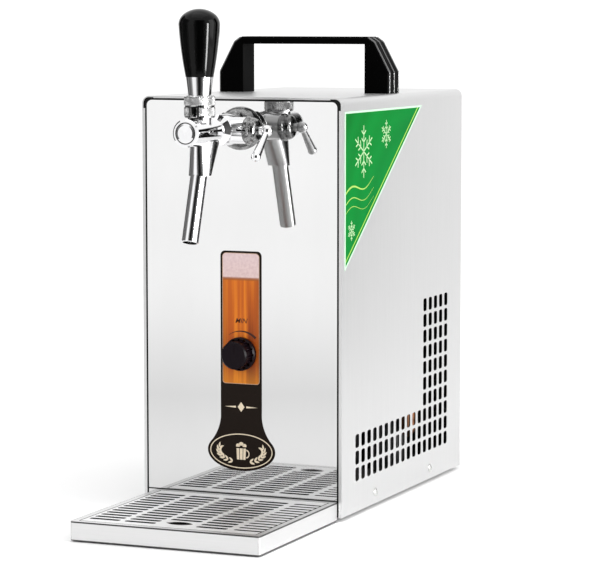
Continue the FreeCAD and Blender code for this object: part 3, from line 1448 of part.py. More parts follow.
def cooling_block():
    """The cast aluminium core that the coil winds round, and its foam jacket."""
    core_radius = S.coil_radius - S.coil_tube_radius - S.running_clearance
    core = rod("core_cylinder", core_radius, S.core_height, 0, CORE_Y, S.core_bottom)
    node(core, "cooling_core")
    half = S.insulation_width / 2
    top = S.insulation_bottom + S.insulation_height
    outer = rounded_box("jacket_outer", (-half, half),
                        (FRONT + S.insulation_front, FRONT + S.insulation_rear),
                        (S.insulation_bottom, top), S.insulation_corner, 2)
    tube_hole = S.coil_tube_radius + S.fit_clearance
    tools = [
        rod("jacket_cavity", S.insulation_cavity, S.core_height, 0, CORE_Y, S.core_bottom),
        rod("jacket_inlet_hole", tube_hole, S.insulation_width, INLET_X, CORE_Y, S.coil_bottom, "y"),
        rod("jacket_outlet_hole", tube_hole, S.insulation_width, INLET_X, CORE_Y, COIL_TOP, "-y"),
        rod("jacket_suction_hole", S.pipe_radius + S.fit_clearance, S.core_height, S.dryer_radius * 2,
            CORE_Y, S.insulation_bottom - OVERRUN),
        rod("jacket_capillary_hole", S.capillary_radius + S.fit_clearance, S.core_height,
            -S.dryer_radius * 2, CORE_Y, S.insulation_bottom - OVERRUN),
    ]
    node(cut("insulation_jacket", outer, *tools), "insulation_jacket")


# Cold unit
def compressor():
    """The welded compressor can on its plate, rubber grommets and start relay."""
    y = FRONT + S.compressor_depth
    radius = S.compressor_radius
    height = S.compressor_height
    low = S.compressor_foot
    crown = S.compressor_crown
    can = turned("compressor_can", [(0, 0), (radius - low, 0), (radius, low, radius - 0.3 * low, 0.3 * low),
                                    (radius, height - crown),
                                    (radius - crown, height - 0.15 * crown, radius - 0.25 * crown,
                                     height - 0.42 * crown),
                                    (0, height)],
                 0, y, S.compressor_bottom)
    node(can, "compressor")
    plate_top = S.compressor_bottom
    plate_low = plate_top - S.plate_sheet
    half_x, half_y = S.plate_width / 2, S.plate_depth / 2
    holes, grommets = [], []
    waist = S.grommet_waist
    inset = S.grommet_inset
    head_top = S.grommet_height + S.plate_sheet + S.grommet_head
    for side in (-1, 1):
        for end in (-1, 1):
            x, hole_y = side * (half_x - inset), y + end * (half_y - inset)
            holes.append(rod(f"plate_hole_{len(holes)}", waist + S.fit_clearance, S.plate_depth,
                             x, hole_y, FLOOR))
            grommets.append(turned(f"grommet_{len(grommets)}",
                                   [(0, 0), (S.grommet_radius, 0), (S.grommet_radius, plate_low - FLOOR),
                                    (waist, plate_low - FLOOR), (waist, plate_top - FLOOR),
                                    (S.grommet_radius, plate_top - FLOOR),
                                    (S.grommet_radius - S.grommet_head / 2, head_top),
                                    (0, head_top)], x, hole_y, FLOOR))
    blank = rounded_box("plate_blank", (-half_x, half_x), (y - half_y, y + half_y),
                        (plate_low, plate_top), S.grommet_radius, 2)
    node(cut("compressor_plate", blank, *holes), "compressor_plate")
    node(group("compressor_grommets", *grommets), "compressor_grommets")
    relay_y = y - radius
    relay = rounded_box("relay_blank", (-S.relay_width / 2, S.relay_width / 2),
                        (relay_y - S.relay_depth, relay_y + S.relay_overlap),
                        (S.compressor_bottom + S.relay_height, S.compressor_bottom + 2 * S.relay_height),
                        S.relay_corner, 2)
    relay_space = rod("relay_space", radius + S.fit_clearance, height, 0, y, S.compressor_bottom)
    node(cut("relay_box", relay, relay_space), "relay_box")


def condenser():
    """The finned condenser, its fan shroud, motor and blades."""
    half = S.condenser_width / 2
    front = CONDENSER_FRONT
    back = front + S.condenser_depth
    block = box("condenser_block", (-half, half), (front, back),
                (S.condenser_bottom, S.condenser_bottom + S.condenser_height))
    node(cut("condenser", block, condenser_gaps()), "condenser")
    axis_z = FAN_HEIGHT
    ring_outer = S.fan_radius + S.fan_tip_clearance + S.shroud_wall
    shroud_back = back + S.shroud_wall + S.fan_depth + S.shroud_depth / 2
    face = box("shroud_face", (-half, half), (back, back + S.shroud_wall),
               (S.condenser_bottom, S.condenser_bottom + S.condenser_height))
    ring = rod("shroud_ring", ring_outer, shroud_back - back, 0, back, axis_z, "y")
    throat = rod("shroud_throat", S.fan_radius + S.fan_tip_clearance, S.case_depth, 0,
                 back - OVERRUN, axis_z, "y")
    spokes = [box(f"shroud_spoke_{number}", (-S.shroud_spoke / 2, S.shroud_spoke / 2) if upright else
                  (-ring_outer + S.shroud_wall, ring_outer - S.shroud_wall),
                  (shroud_back - S.shroud_wall, shroud_back),
                  (axis_z - ring_outer + S.shroud_wall, axis_z + ring_outer - S.shroud_wall) if upright else
                  (axis_z - S.shroud_spoke / 2, axis_z + S.shroud_spoke / 2))
              for number, upright in enumerate((True, False))]
    hub_hole = rod("shroud_hub_hole", S.fan_shaft_radius + S.running_clearance, S.case_depth, 0,
                   back - OVERRUN, axis_z, "y")
    open_ring = cut("shroud_open", fuse("shroud_joined", face, ring), throat)
    node(cut("fan_shroud", fuse("shroud_spoked", open_ring, *spokes), hub_hole), "fan_shroud")
    motor_front = shroud_back
    motor = turned("motor_can", [(0, 0), (S.motor_radius - S.motor_edge, 0), (S.motor_radius, S.motor_edge),
                                 (S.motor_radius, S.motor_length), (0, S.motor_length)],
                   0, motor_front, axis_z, "y")
    bore = rod("motor_bore", S.fan_shaft_radius + S.fit_clearance, S.motor_bore_depth,
               0, motor_front - OVERRUN, axis_z, "y")
    node(cut("fan_motor", motor, bore), "fan_motor")
    blade_front = back + S.shroud_wall
    hub = turned("fan_hub", [(0, 0), (S.fan_hub_radius - S.fan_hub_edge, 0),
                             (S.fan_hub_radius, S.fan_hub_edge), (S.fan_hub_radius, S.fan_depth),
                             (0, S.fan_depth)],
                 0, blade_front, axis_z, "y")
    shaft = rod("fan_shaft", S.fan_shaft_radius, S.fan_depth + S.motor_shaft_depth, 0,
                blade_front + S.fan_depth / 2, axis_z, "y")
    node(fuse("fan_rotor", hub, shaft, fan_blade_set(blade_front, axis_z)), "fan_rotor")


def condenser_gaps():
    """The air gaps between the condenser's upright fins."""
    inner = S.condenser_width.value - 2 * S.header.value
    pitch = inner / S.fin_count.value
    gaps = []
    for number in range(int(S.fin_count.value)):
        x = -inner / 2 + number * pitch + S.fin_thickness.value / 2
        gaps.append(Part.makeBox(pitch - S.fin_thickness.value, 2 * S.condenser_depth.value,
                                 S.condenser_height.value - 2 * S.header.value,
                                 Vector(x, CONDENSER_FRONT.value - S.condenser_depth.value / 2,
                                        S.condenser_bottom.value + S.header.value)))
    return coded("condenser_gaps", Part.makeCompound(gaps))


def fan_blade_set(front, axis_z):
    """Flat pitched blades spread evenly round the hub."""
    reach = S.fan_radius.value
    chord = 0.8 * S.fan_depth.value / math.sin(math.radians(90 - S.fan_blade_pitch.value))
    root = S.fan_hub_radius.value - S.fan_hub_edge.value
    blades = []
    for number in range(int(S.fan_blades.value)):
        blade = Part.makeBox(chord, S.fan_blade_thickness.value, reach - root,
                             Vector(-chord / 2, -S.fan_blade_thickness.value / 2, root))
        blade.rotate(Vector(), Vector(0, 0, 1), S.fan_blade_pitch.value)
        blade.rotate(Vector(), Vector(0, 1, 0), number * 360 / S.fan_blades.value)
        blades.append(blade)
    swept = coded("fan_blade_set", Part.makeCompound(blades))
    return place(swept, 0, front + S.fan_depth / 2, axis_z)


def refrigerant_lines():
    """Filter dryer and the copper lines between compressor, condenser and cooling core."""
    compressor_y = FRONT + S.compressor_depth
    side_x = S.compressor_radius
    suction_x = S.dryer_radius * 2
    over = S.insulation_bottom - 4 * S.pipe_radius
    bend = S.pipe_bend
    port_z = S.compressor_bottom + S.compressor_port_height
    outside = side_x + S.pipe_stand_off
    node(bent_tube("suction_pipe", S.pipe_radius, bend,
                   [(suction_x, CORE_Y, S.core_bottom), (suction_x, CORE_Y, over),
                    (outside, CORE_Y, over), (outside, compressor_y, port_z),
                    (side_x, compressor_y, port_z)]), "suction_line")
    condenser_y = CONDENSER_FRONT + S.condenser_depth / 2
    half = S.condenser_width / 2
    top_z = S.condenser_bottom + S.condenser_height - 3 * S.header
    node(bent_tube("discharge_pipe", S.pipe_radius, bend,
                   [(-side_x, compressor_y, port_z), (-outside, compressor_y, port_z),
                    (-outside - S.pipe_side_step, condenser_y - 2 * S.header, top_z),
                    (-outside - S.pipe_side_step, condenser_y, top_z), (-half, condenser_y, top_z)]),
         "discharge_line")
    dryer_x = half + S.dryer_radius + S.dryer_gap
    dryer_z = S.condenser_bottom + 6 * S.header
    dryer_length = S.dryer_length
    taper = S.dryer_radius
    dryer = turned("dryer_can", [(0, 0), (S.capillary_radius * 2, 0), (S.dryer_radius, taper),
                                 (S.dryer_radius, dryer_length - taper),
                                 (S.capillary_radius * 2, dryer_length), (0, dryer_length)],
                   dryer_x, condenser_y, dryer_z)
    node(dryer, "filter_dryer")
    core_x = -S.dryer_radius * 2
    rise = dryer_z + dryer_length
    node(bent_tube("capillary_pipe", S.capillary_radius, bend,
                   [(dryer_x, condenser_y, rise), (dryer_x, condenser_y, over + S.pipe_radius),
                    (core_x, condenser_y - 4 * S.header, over + S.pipe_radius),
                    (core_x, CORE_Y, over + S.pipe_radius), (core_x, CORE_Y, S.core_bottom)]),
         "capillary_line")


def power_inlet():
    """The flanged power socket in the rear panel, with three contact pins."""
    x, z = S.inlet_power_x, S.inlet_power_z
    half_w, half_h = S.inlet_power_width / 2, S.inlet_power_height / 2
    flange_half, flange_rise = S.inlet_power_flange / 2, S.inlet_power_flange_height / 2
    back = REAR + S.pan_sheet
    housing = box("power_housing", (x - half_w, x + half_w), (REAR - S.inlet_power_depth, back),
                  (z - half_h, z + half_h))
    flange = box("power_flange", (x - flange_half, x + flange_half), (REAR, back),
                 (z - flange_rise, z + flange_rise))
    wall = S.inlet_power_wall
    well_front = REAR - S.inlet_power_depth + wall
    well = box("power_well", (x - half_w + wall, x + half_w - wall), (well_front, back + OVERRUN),
               (z - half_h + wall, z + half_h - wall))
    holes = power_screw_rods("power_hole", S.screw_radius + S.fit_clearance, S.rear_lip)
    hollow = cut("power_hollow", fuse("power_joined", housing, flange), well, *holes)
    pin_z = (z - S.power_pin_height / 2, z + S.power_pin_height / 2)
    pins = []
    for number, place_x in enumerate((x - S.power_pin_gap, x, x + S.power_pin_gap)):
        pin_x = (place_x - S.power_pin_width / 2, place_x + S.power_pin_width / 2)
        pins.append(box(f"power_pin_{number}", pin_x, (well_front - OVERRUN, REAR - wall), pin_z))
    node(fuse("power_inlet", hollow, *pins), "power_inlet")


def check_document():
    """Stop if any object failed or any sub-part is empty or broken."""
    doc.recompute()
    for item in doc.Objects:
        if "Invalid" in item.State or "Error" in item.State:
            raise RuntimeError(f"{item.Name} failed: {item.State}")
    for item in nodes:
        if item.Shape.isNull() or not item.Shape.isValid() or not item.Shape.Solids:
            raise RuntimeError(f"{item.Label} has no sound shape")


def write_parts():
    """Write each sub-part to its own file."""
    os.makedirs("parts", exist_ok=True)
    for item in nodes:
        item.Shape.exportStep(f"parts/{item.Label}.step")
        print(item.Label, len(item.Shape.Solids), round(item.Shape.Volume))


base_pan()
wrap_cover()
front_panel()
front_trim()
rear_panel()
case_screws()
feet()
carry_handle()
labels()
thermostat()
drip_tray()
tap_body()
tap_front_cap()
nozzle()
lever()
valve()
compensator()
shank()
beer_path()
cooling_block()
compressor()
condenser()
refrigerant_lines()
power_inlet()
check_document()
write_parts()
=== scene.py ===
import json
import math

import bmesh
import bpy
from bpy.props import FloatProperty, FloatVectorProperty, IntProperty, PointerProperty
from mathutils import Euler, Matrix, Vector


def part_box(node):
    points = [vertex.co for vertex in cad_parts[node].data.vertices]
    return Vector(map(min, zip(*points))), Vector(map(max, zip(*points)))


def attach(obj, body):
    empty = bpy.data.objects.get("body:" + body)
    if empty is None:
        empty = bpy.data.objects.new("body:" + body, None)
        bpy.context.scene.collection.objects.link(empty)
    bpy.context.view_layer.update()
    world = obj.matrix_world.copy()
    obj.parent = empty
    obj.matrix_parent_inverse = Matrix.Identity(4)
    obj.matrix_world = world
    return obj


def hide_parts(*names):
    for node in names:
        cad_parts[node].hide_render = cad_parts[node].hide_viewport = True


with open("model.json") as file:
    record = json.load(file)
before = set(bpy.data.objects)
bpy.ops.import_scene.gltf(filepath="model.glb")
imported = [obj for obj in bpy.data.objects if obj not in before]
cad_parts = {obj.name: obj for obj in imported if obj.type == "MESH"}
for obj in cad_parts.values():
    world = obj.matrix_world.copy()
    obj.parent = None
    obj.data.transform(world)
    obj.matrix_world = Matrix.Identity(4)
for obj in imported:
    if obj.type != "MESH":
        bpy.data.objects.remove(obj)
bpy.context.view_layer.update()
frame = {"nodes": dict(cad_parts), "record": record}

bl_info = {
    "name": "Beer cooler dressing",
    "version": (1, 0, 0),
    "blender": (4, 5, 0),
    "location": "3D View > Sidebar > Cooler",
    "description": "Finishes, prints, screws and studio for an over-counter beer cooler",
    "category": "Object",
}

MM = 0.001
NODES = frame["nodes"]

# Places on the object, in metres, read from the CAD nodes where one gives them
PANEL_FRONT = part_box("front_panel")[0].y
LABEL_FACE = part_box("front_label")[0].y
STICKER_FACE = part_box("side_sticker")[1].x
STICKER_LOW, STICKER_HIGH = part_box("side_sticker")
COVER_LOW, COVER_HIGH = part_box("wrap_cover")
COVER_BEND = 6.0 * MM
REAR_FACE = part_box("rear_panel")[1].y
HANDLE_LOW, HANDLE_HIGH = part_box("carry_handle")
LEVER_Y = sum(corner.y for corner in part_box("grip_ferrule")) / 2
KNOB_Z = sum(corner.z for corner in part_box("thermostat_knob")) / 2
TRAY_LOW, TRAY_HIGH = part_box("tray_body")
GRILLE_LOW, GRILLE_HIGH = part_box("tray_grille")
INK = 0.04 * MM

# Heights in millimetres: where the printed foam starts, the dial's mark, and the knurled bands with the
# bodies they ride
FOAM_LINE = 192.0
MARK_HEIGHT = 156.2
KNURLED = (("bonnet_nut", "case", 325.6, 332.0), ("lever_collar", "tap_lever", 333.9, 340.2))

# Camera: place in metres, turn and tilt in degrees, and the way the panel mirrors its view along the floor
CAMERA_PLACE = (0.8889, -2.0437, 0.4048)
CAMERA_YAW, CAMERA_PITCH = 22.856, 5.911
MIRRORED_X, MIRRORED_Y = -0.389, -0.921

# Reflected cloths: start and end in degrees round the tap, lower and upper edge in metres
SCREENS = ((-98, -30, 0.01, 1.1), (36, 58, 0.01, 0.9), (150, 234, 0.01, 1.0))

# The handle's end in millimetres: height of its upright leg, and its bends as (outwards, above the foot)
HANDLE_LEG = 17.4
HANDLE_BENDS = ((64.0, 42.5), (58.6, 46.2))


# Meshes
def add_object(name, mesh):
    """Link a mesh to the scene as an object of its own."""
    item = bpy.data.objects.new(name, mesh)
    bpy.context.scene.collection.objects.link(item)
    return item


def mesh_of(name, vertices, faces, smooth=False):
    """A mesh from corners and faces, with its normals pointing outwards."""
    mesh = bpy.data.meshes.new(name)
    mesh.from_pydata([tuple(corner) for corner in vertices], [], faces)
    work = bmesh.new()
    work.from_mesh(mesh)
    bmesh.ops.remove_doubles(work, verts=work.verts, dist=1e-7)
    bmesh.ops.recalc_face_normals(work, faces=work.faces)
    work.to_mesh(mesh)
    work.free()
    for face in mesh.polygons:
        face.use_smooth = smooth
    return mesh


def place_on(plane, u, v, depth):
    """A point of a flat print: u to the right and v up as seen, depth towards the viewer."""
    if plane == "front":
        return Vector((u, LABEL_FACE - depth, v))
    if plane == "grille":
        return Vector((u, v, GRILLE_HIGH.z + depth))
    return Vector((STICKER_FACE + depth, u, v))


def plate_faces(count):
    """The faces of a closed plate between two outlines of equally many corners."""
    sides = [[i, (i + 1) % count, (i + 1) % count + count, i + count] for i in range(count)]
    return [list(range(count)), list(range(count, 2 * count))] + sides


def slab(name, plane, loop):
    """A closed plate of ink with a given outline."""
    back = [place_on(plane, u, v, 0.0) for u, v in loop]
    front = [place_on(plane, u, v, INK) for u, v in loop]
    return mesh_of(name, back + front, plate_faces(len(loop)))


def band(name, plane, inner, outer, thickness=INK, closed=True):
    """A thin closed strip between two lines of equally many points."""
    count = len(inner)
    rings = [[place_on(plane, u, v, rise) for u, v in line]
             for line, rise in ((inner, 0), (outer, 0), (outer, thickness), (inner, thickness))]
    faces = []
    spans = count if closed else count - 1
    for i in range(spans):
        after = (i + 1) % count
        for ring in range(4):
            beside = (ring + 1) % 4
            faces.append([ring * count + i, ring * count + after,
                          beside * count + after, beside * count + i])
    if not closed:
        faces.append([ring * count for ring in range(4)])
        faces.append([ring * count + count - 1 for ring in range(4)])
    return mesh_of(name, [point for ring in rings for point in ring], faces)


def rounded_loop(low_u, high_u, low_v, high_v, radius_low, radius_high, steps=8):
    """The outline of a rectangle with rounded corners, turning anticlockwise."""
    loop = []
    for corner_u, corner_v, radius, start in (
            (high_u, high_v, radius_high, 0), (low_u, high_v, radius_high, 90),
            (low_u, low_v, radius_low, 180), (high_u, low_v, radius_low, 270)):
        centre_u = corner_u - radius if corner_u == high_u else corner_u + radius
        centre_v = corner_v - radius if corner_v == high_v else corner_v + radius
        for step in range(steps + 1):
            angle = math.radians(start + 90 * step / steps)
            loop.append((centre_u + radius * math.cos(angle), centre_v + radius * math.sin(angle)))
    return loop


def oval_loop(centre_v, half_u, half_v, steps=96):
    """The outline of an oval about the middle of the label."""
    return [(half_u * math.cos(2 * math.pi * i / steps),
             centre_v + half_v * math.sin(2 * math.pi * i / steps)) for i in range(steps)]


def joined(name, *meshes):
    """One object from several meshes."""
    work = bmesh.new()
    for mesh in meshes:
        work.from_mesh(mesh)
    whole = bpy.data.meshes.new(name)
    work.to_mesh(whole)
    work.free()
    return add_object(name, whole)


def finish(item, body, slot, material, *nodes):
    """Give a piece its finish and the body that it moves with, and hide the nodes that it stands for."""
    item.data.materials.clear()
    item.data.materials.append(material)
    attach(item, body)
    if nodes:
        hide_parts(*nodes)
    return item


def plain_mesh(item, name):
    """Replace an object's live modifiers by the mesh that they make."""
    bpy.context.view_layer.update()
    graph = bpy.context.evaluated_depsgraph_get()
    mesh = bpy.data.meshes.new_from_object(item.evaluated_get(graph))
    mesh.name = name
    item.modifiers.clear()
    item.data = mesh
    return item


# Materials
class Shades:
    """A material's node tree, built by short calls that return sockets."""

    def __init__(self, name, color, metallic=0.0, roughness=0.5, coat=0.0, coat_roughness=0.05,
                 specular=0.5):
        self.material = bpy.data.materials.new(name)
        self.material.use_nodes = True
        self.tree = self.material.node_tree
        self.tree.nodes.clear()
        self.output = self.tree.nodes.new("ShaderNodeOutputMaterial")
        self.surface = self.tree.nodes.new("ShaderNodeBsdfPrincipled")
        self.tree.links.new(self.surface.outputs[0], self.output.inputs[0])
        self.put("Base Color", (*color, 1))
        self.put("Metallic", metallic)
        self.put("Roughness", roughness)
        self.put("Coat Weight", coat)
        self.put("Coat Roughness", coat_roughness)
        self.put("Specular IOR Level", specular)
        self.material.diffuse_color = (*color, 1)

    def put(self, name, value):
        """Set or link one socket of the surface shader."""
        socket = self.surface.inputs[name]
        if isinstance(value, bpy.types.NodeSocket):
            self.tree.links.new(value, socket)
        else:
            socket.default_value = value

    def add(self, kind, inputs, **settings):
        """Add a node, with numbers or sockets as inputs by name or number, and return its first output."""
        made = self.tree.nodes.new(kind)
        for name, value in settings.items():
            setattr(made, name, value)
        for name, value in inputs.items():
            if isinstance(value, bpy.types.NodeSocket):
                self.tree.links.new(value, made.inputs[name])
            else:
                made.inputs[name].default_value = value
        return made.outputs[0]

    def math(self, operation, first, second=0.0, third=0.0, clamp=False):
        """One step of arithmetic."""
        return self.add("ShaderNodeMath", {0: first, 1: second, 2: third}, operation=operation,
                        use_clamp=clamp)

    def point(self, scale=(1, 1, 1), origin=(0, 0, 0)):
        """Object coordinates, centred and scaled."""
        place = self.tree.nodes.new("ShaderNodeTexCoord").outputs["Object"]
        moved = self.add("ShaderNodeMapping", {"Vector": place, "Location": tuple(-c for c in origin)})
        return self.add("ShaderNodeMapping", {"Vector": moved, "Scale": scale})

    def axes(self, origin=(0, 0, 0)):
        """The three object coordinates in millimetres about a point, as separate sockets."""
        place = self.point(scale=(1000, 1000, 1000), origin=origin)
        parts = self.tree.nodes.new("ShaderNodeSeparateXYZ")
        self.tree.links.new(place, parts.inputs[0])
        return parts.outputs[0], parts.outputs[1], parts.outputs[2]

    def noise(self, scale, detail=3.0, roughness=0.55, origin=(0, 0, 0)):
        """A soft random pattern from 0 to 1; a small scale along one axis draws it out that way."""
        place = self.point(scale=scale, origin=origin)
        return self.add("ShaderNodeTexNoise", {"Vector": place, "Scale": 1.0, "Detail": detail,
                                               "Roughness": roughness})

    def grain(self, scale):
        """Fine brushing lines from 0 to 1."""
        return self.noise(scale, detail=4.0, roughness=0.7)

    def spread(self, value, low, high, to_low=0.0, to_high=1.0, smooth=False):
        """Map a value from one range to another, held at its ends."""
        return self.add("ShaderNodeMapRange", {"Value": value, "From Min": low, "From Max": high,
                                               "To Min": to_low, "To Max": to_high},
                        interpolation_type="SMOOTHSTEP" if smooth else "LINEAR")

    def ramp(self, value, *stops):
        """Colours along a value; each stop is (place, colour)."""
        node = self.tree.nodes.new("ShaderNodeValToRGB")
        self.tree.links.new(value, node.inputs[0])
        elements = node.color_ramp.elements
        while len(elements) < len(stops):
            elements.new(0.5)
        for element, (place, color) in zip(elements, stops):
            element.position = place
            element.color = (*color, 1)
        return node.outputs[0]

    def blend(self, share, first, second):
        """Mix two colours by a share."""
        node = self.tree.nodes.new("ShaderNodeMix")
        node.data_type = "RGBA"
        for socket, value in ((node.inputs[0], share), (node.inputs[6], first), (node.inputs[7], second)):
            if isinstance(value, bpy.types.NodeSocket):
                self.tree.links.new(value, socket)
            else:
                socket.default_value = (*value, 1) if isinstance(value, tuple) else value
        return node.outputs[2]

    def bump(self, height, distance):
        """Raise the surface by a height pattern, in metres."""
        self.put("Normal", self.add("ShaderNodeBump", {"Height": height, "Distance": distance}))


def times(color, factor):
    """A colour made darker or lighter by a factor."""
    return tuple(channel * factor for channel in color)


def brushed_steel(name, color, grain, roughness, depth):
    """Steel with fine upright grain, faint smears and a soft sheen."""
    shades = Shades(name, color, metallic=1.0, roughness=roughness)
    lines = shades.grain((grain, grain, grain / 60))
    smears = shades.noise((9, 9, 5), detail=2.0)
    mixed = shades.math("MULTIPLY_ADD", smears, 0.35, shades.math("MULTIPLY", lines, 0.65))
    shades.put("Roughness", shades.spread(mixed, 0.3, 0.7, roughness * 0.85, roughness * 1.2))
    shades.put("Base Color", shades.blend(shades.spread(lines, 0.3, 0.7), times(color, 0.93), color))
    shades.bump(lines, depth)
    return shades.material


def sides_of(shades, low, high):
    """How far a point lies inside the four upright sides of a box, and its height, in millimetres."""
    x, y, z = shades.axes()
    away = []
    for value, start, end in ((x, low.x, high.x), (y, low.y, high.y)):
        away.append(shades.math("MINIMUM", shades.math("SUBTRACT", value, start / MM),
                                shades.math("SUBTRACT", end / MM, value)))
    return away[0], away[1], z


def tray_finish(name, color):
    """Fine-brushed steel with thin dark edge lines of painted shade; the basin below the grille is painted
    dark as shade, with a random mottle and more roughness.
    """
    shades = Shades(name, color, metallic=1.0, roughness=0.3)
    lines = shades.grain((12, 900, 900))
    across, along, z = sides_of(shades, TRAY_LOW, TRAY_HIGH)
    nearest = shades.math("MINIMUM", across, along)
    # Painted shade: the basin below the grille, inside the rim, is painted near black
    below = shades.math("SUBTRACT", GRILLE_LOW.z / MM - 0.2, z)
    inside = shades.spread(shades.math("MINIMUM", shades.math("SUBTRACT", nearest, 0.8), below), 0.0, 0.3)
    # Painted shade: thin dark lines just below the top where the panel meets it, along the rim, up the
    # corners and at the foot
    down = shades.math("SUBTRACT", TRAY_HIGH.z / MM, z)
    seam = shades.math("MULTIPLY", shades.spread(down, 0.02, 0.06), shades.spread(down, 1.25, 1.0))
    rim = shades.math("MULTIPLY", shades.spread(down, 0.06, 0.02), shades.spread(nearest, 0.45, 0.3))
    corner = shades.spread(shades.math("MAXIMUM", across, along), 0.9, 0.6)
    foot = shades.spread(shades.math("SUBTRACT", z, TRAY_LOW.z / MM), 0.9, 0.6)
    edge = shades.math("MAXIMUM", shades.math("MAXIMUM", seam, rim), shades.math("MAXIMUM", corner, foot))
    basin_mottle = shades.noise((30, 30, 30), detail=4.0)
    basin_shade = shades.blend(basin_mottle, (0.03, 0.03, 0.03), (0.075, 0.072, 0.07))
    bright = shades.blend(shades.spread(lines, 0.3, 0.7), times(color, 0.94), color)
    toned = shades.blend(shades.math("MULTIPLY", edge, 0.94), bright, (0.02, 0.02, 0.02))
    shades.put("Base Color", shades.blend(inside, toned, basin_shade))
    rough = shades.spread(lines, 0.3, 0.7, 0.34, 0.46)
    shades.put("Roughness", shades.math("MULTIPLY_ADD", inside, 0.35, rough))
    shades.bump(lines, 0.003 * MM)
    return shades.material


def grille_finish(name, color):
    """Satin steel plate; its slots' walls and the line round its edge are painted dark, a painted shade."""
    shades = Shades(name, color, metallic=1.0, roughness=0.5)
    lines = shades.grain((900, 12, 900))
    across, along, z = sides_of(shades, GRILLE_LOW, GRILLE_HIGH)
    down = shades.math("SUBTRACT", GRILLE_HIGH.z / MM, z)
    # Painted shade: the slots' sides and a thin line round the plate's edge go near black
    walls = shades.spread(down, 0.03, 0.12)
    edge = shades.spread(shades.math("MINIMUM", across, along), 0.75, 0.55)
    dark = shades.math("MAXIMUM", walls, edge)
    bright = shades.blend(shades.spread(lines, 0.3, 0.7), times(color, 0.93), color)
    shades.put("Base Color", shades.blend(dark, bright, (0.008, 0.008, 0.008)))
    shades.put("Roughness", shades.spread(lines, 0.3, 0.7, 0.44, 0.56))
    shades.bump(lines, 0.003 * MM)
    return shades.material


def cover_finish(name, color, roughness):
    """Satin sheet, brushed upright outside; its inner faces and cut slot edges are painted dark as shade, and
    rougher.
    """
    shades = Shades(name, color, metallic=1.0, roughness=roughness)
    lines = shades.grain((900, 900, 15))
    smears = shades.noise((9, 9, 5), detail=2.0)
    mixed = shades.math("MULTIPLY_ADD", smears, 0.35, shades.math("MULTIPLY", lines, 0.65))
    x, y, z = shades.axes()
    bend = COVER_BEND / MM
    sideways = shades.math("SUBTRACT", shades.math("ABSOLUTE", x), COVER_HIGH.x / MM - bend)
    upwards = shades.math("SUBTRACT", z, COVER_HIGH.z / MM - bend)
    corner = [shades.math("POWER", shades.math("MAXIMUM", value, 0.0), 2.0) for value in (sideways, upwards)]
    skin = shades.math("SUBTRACT", bend, shades.math("SQRT", shades.math("ADD", *corner)))
    ends = shades.math("MINIMUM", shades.math("SUBTRACT", REAR_FACE / MM, y),
                       shades.math("SUBTRACT", z, COVER_LOW.z / MM))
    ends = shades.math("MINIMUM", ends, shades.math("SUBTRACT", y, COVER_LOW.y / MM))
    # Painted shade: inner faces and cut edges, so that the slots read dark
    inside = shades.spread(shades.math("MINIMUM", skin, ends), 0.08, 0.16)
    tone = shades.blend(shades.spread(lines, 0.3, 0.7), times(color, 0.93), color)
    shades.put("Base Color", shades.blend(inside, tone, (0.012, 0.012, 0.013)))
    rough = shades.spread(mixed, 0.3, 0.7, roughness * 0.85, roughness * 1.2)
    shades.put("Roughness", shades.math("MULTIPLY_ADD", inside, 0.3, rough, clamp=True))
    shades.bump(lines, 0.01 * MM)
    return shades.material


def panel_finish(name, color, roughness, waves):
    """Mirror-polished sheet with painted shade: darker towards its foot, dark on its inner faces and in a
    thin line above the tray.
    """
    shades = Shades(name, color, metallic=1.0, roughness=roughness)
    marks = shades.noise((24, 24, 6), detail=5.0, roughness=0.65)
    shades.put("Roughness", shades.spread(marks, 0.35, 0.75, roughness * 0.6, roughness * 1.8))
    swell = shades.noise((7, 7, 5), detail=1.0)
    shades.bump(swell, waves)
    _, y, z = shades.axes()
    # Painted shade: faces behind the front face, and a thin line just above the tray where the two meet, go
    # near black
    inside = shades.spread(shades.math("SUBTRACT", y, PANEL_FRONT / MM), 0.1, 0.3)
    off = shades.math("ABSOLUTE", shades.math("SUBTRACT", z, TRAY_HIGH.z / MM + 0.3))
    foot = shades.spread(off, 0.7, 0.4)
    dark = shades.math("MAXIMUM", inside, foot)
    tone = shades.blend(shades.spread(marks, 0.4, 0.8), color, times(color, 0.97))
    # Painted shade: the sheet's colour darkens towards its foot
    painted_foot_shade = shades.math("MULTIPLY", shades.spread(z, 220, 50, smooth=True), 0.43)
    tone = shades.blend(painted_foot_shade, tone, times(color, 0.4))
    shades.put("Base Color", shades.blend(dark, tone, (0.015, 0.015, 0.015)))
    return shades.material


def back_of(shades):
    """Rises from 0 to 1 on faces that look to the rear, where the chromes paint shade."""
    parts = shades.tree.nodes.new("ShaderNodeSeparateXYZ")
    normal = shades.tree.nodes.new("ShaderNodeTexCoord").outputs["Normal"]
    shades.tree.links.new(normal, parts.inputs[0])
    return shades.spread(parts.outputs[1], 0.1, 0.6)


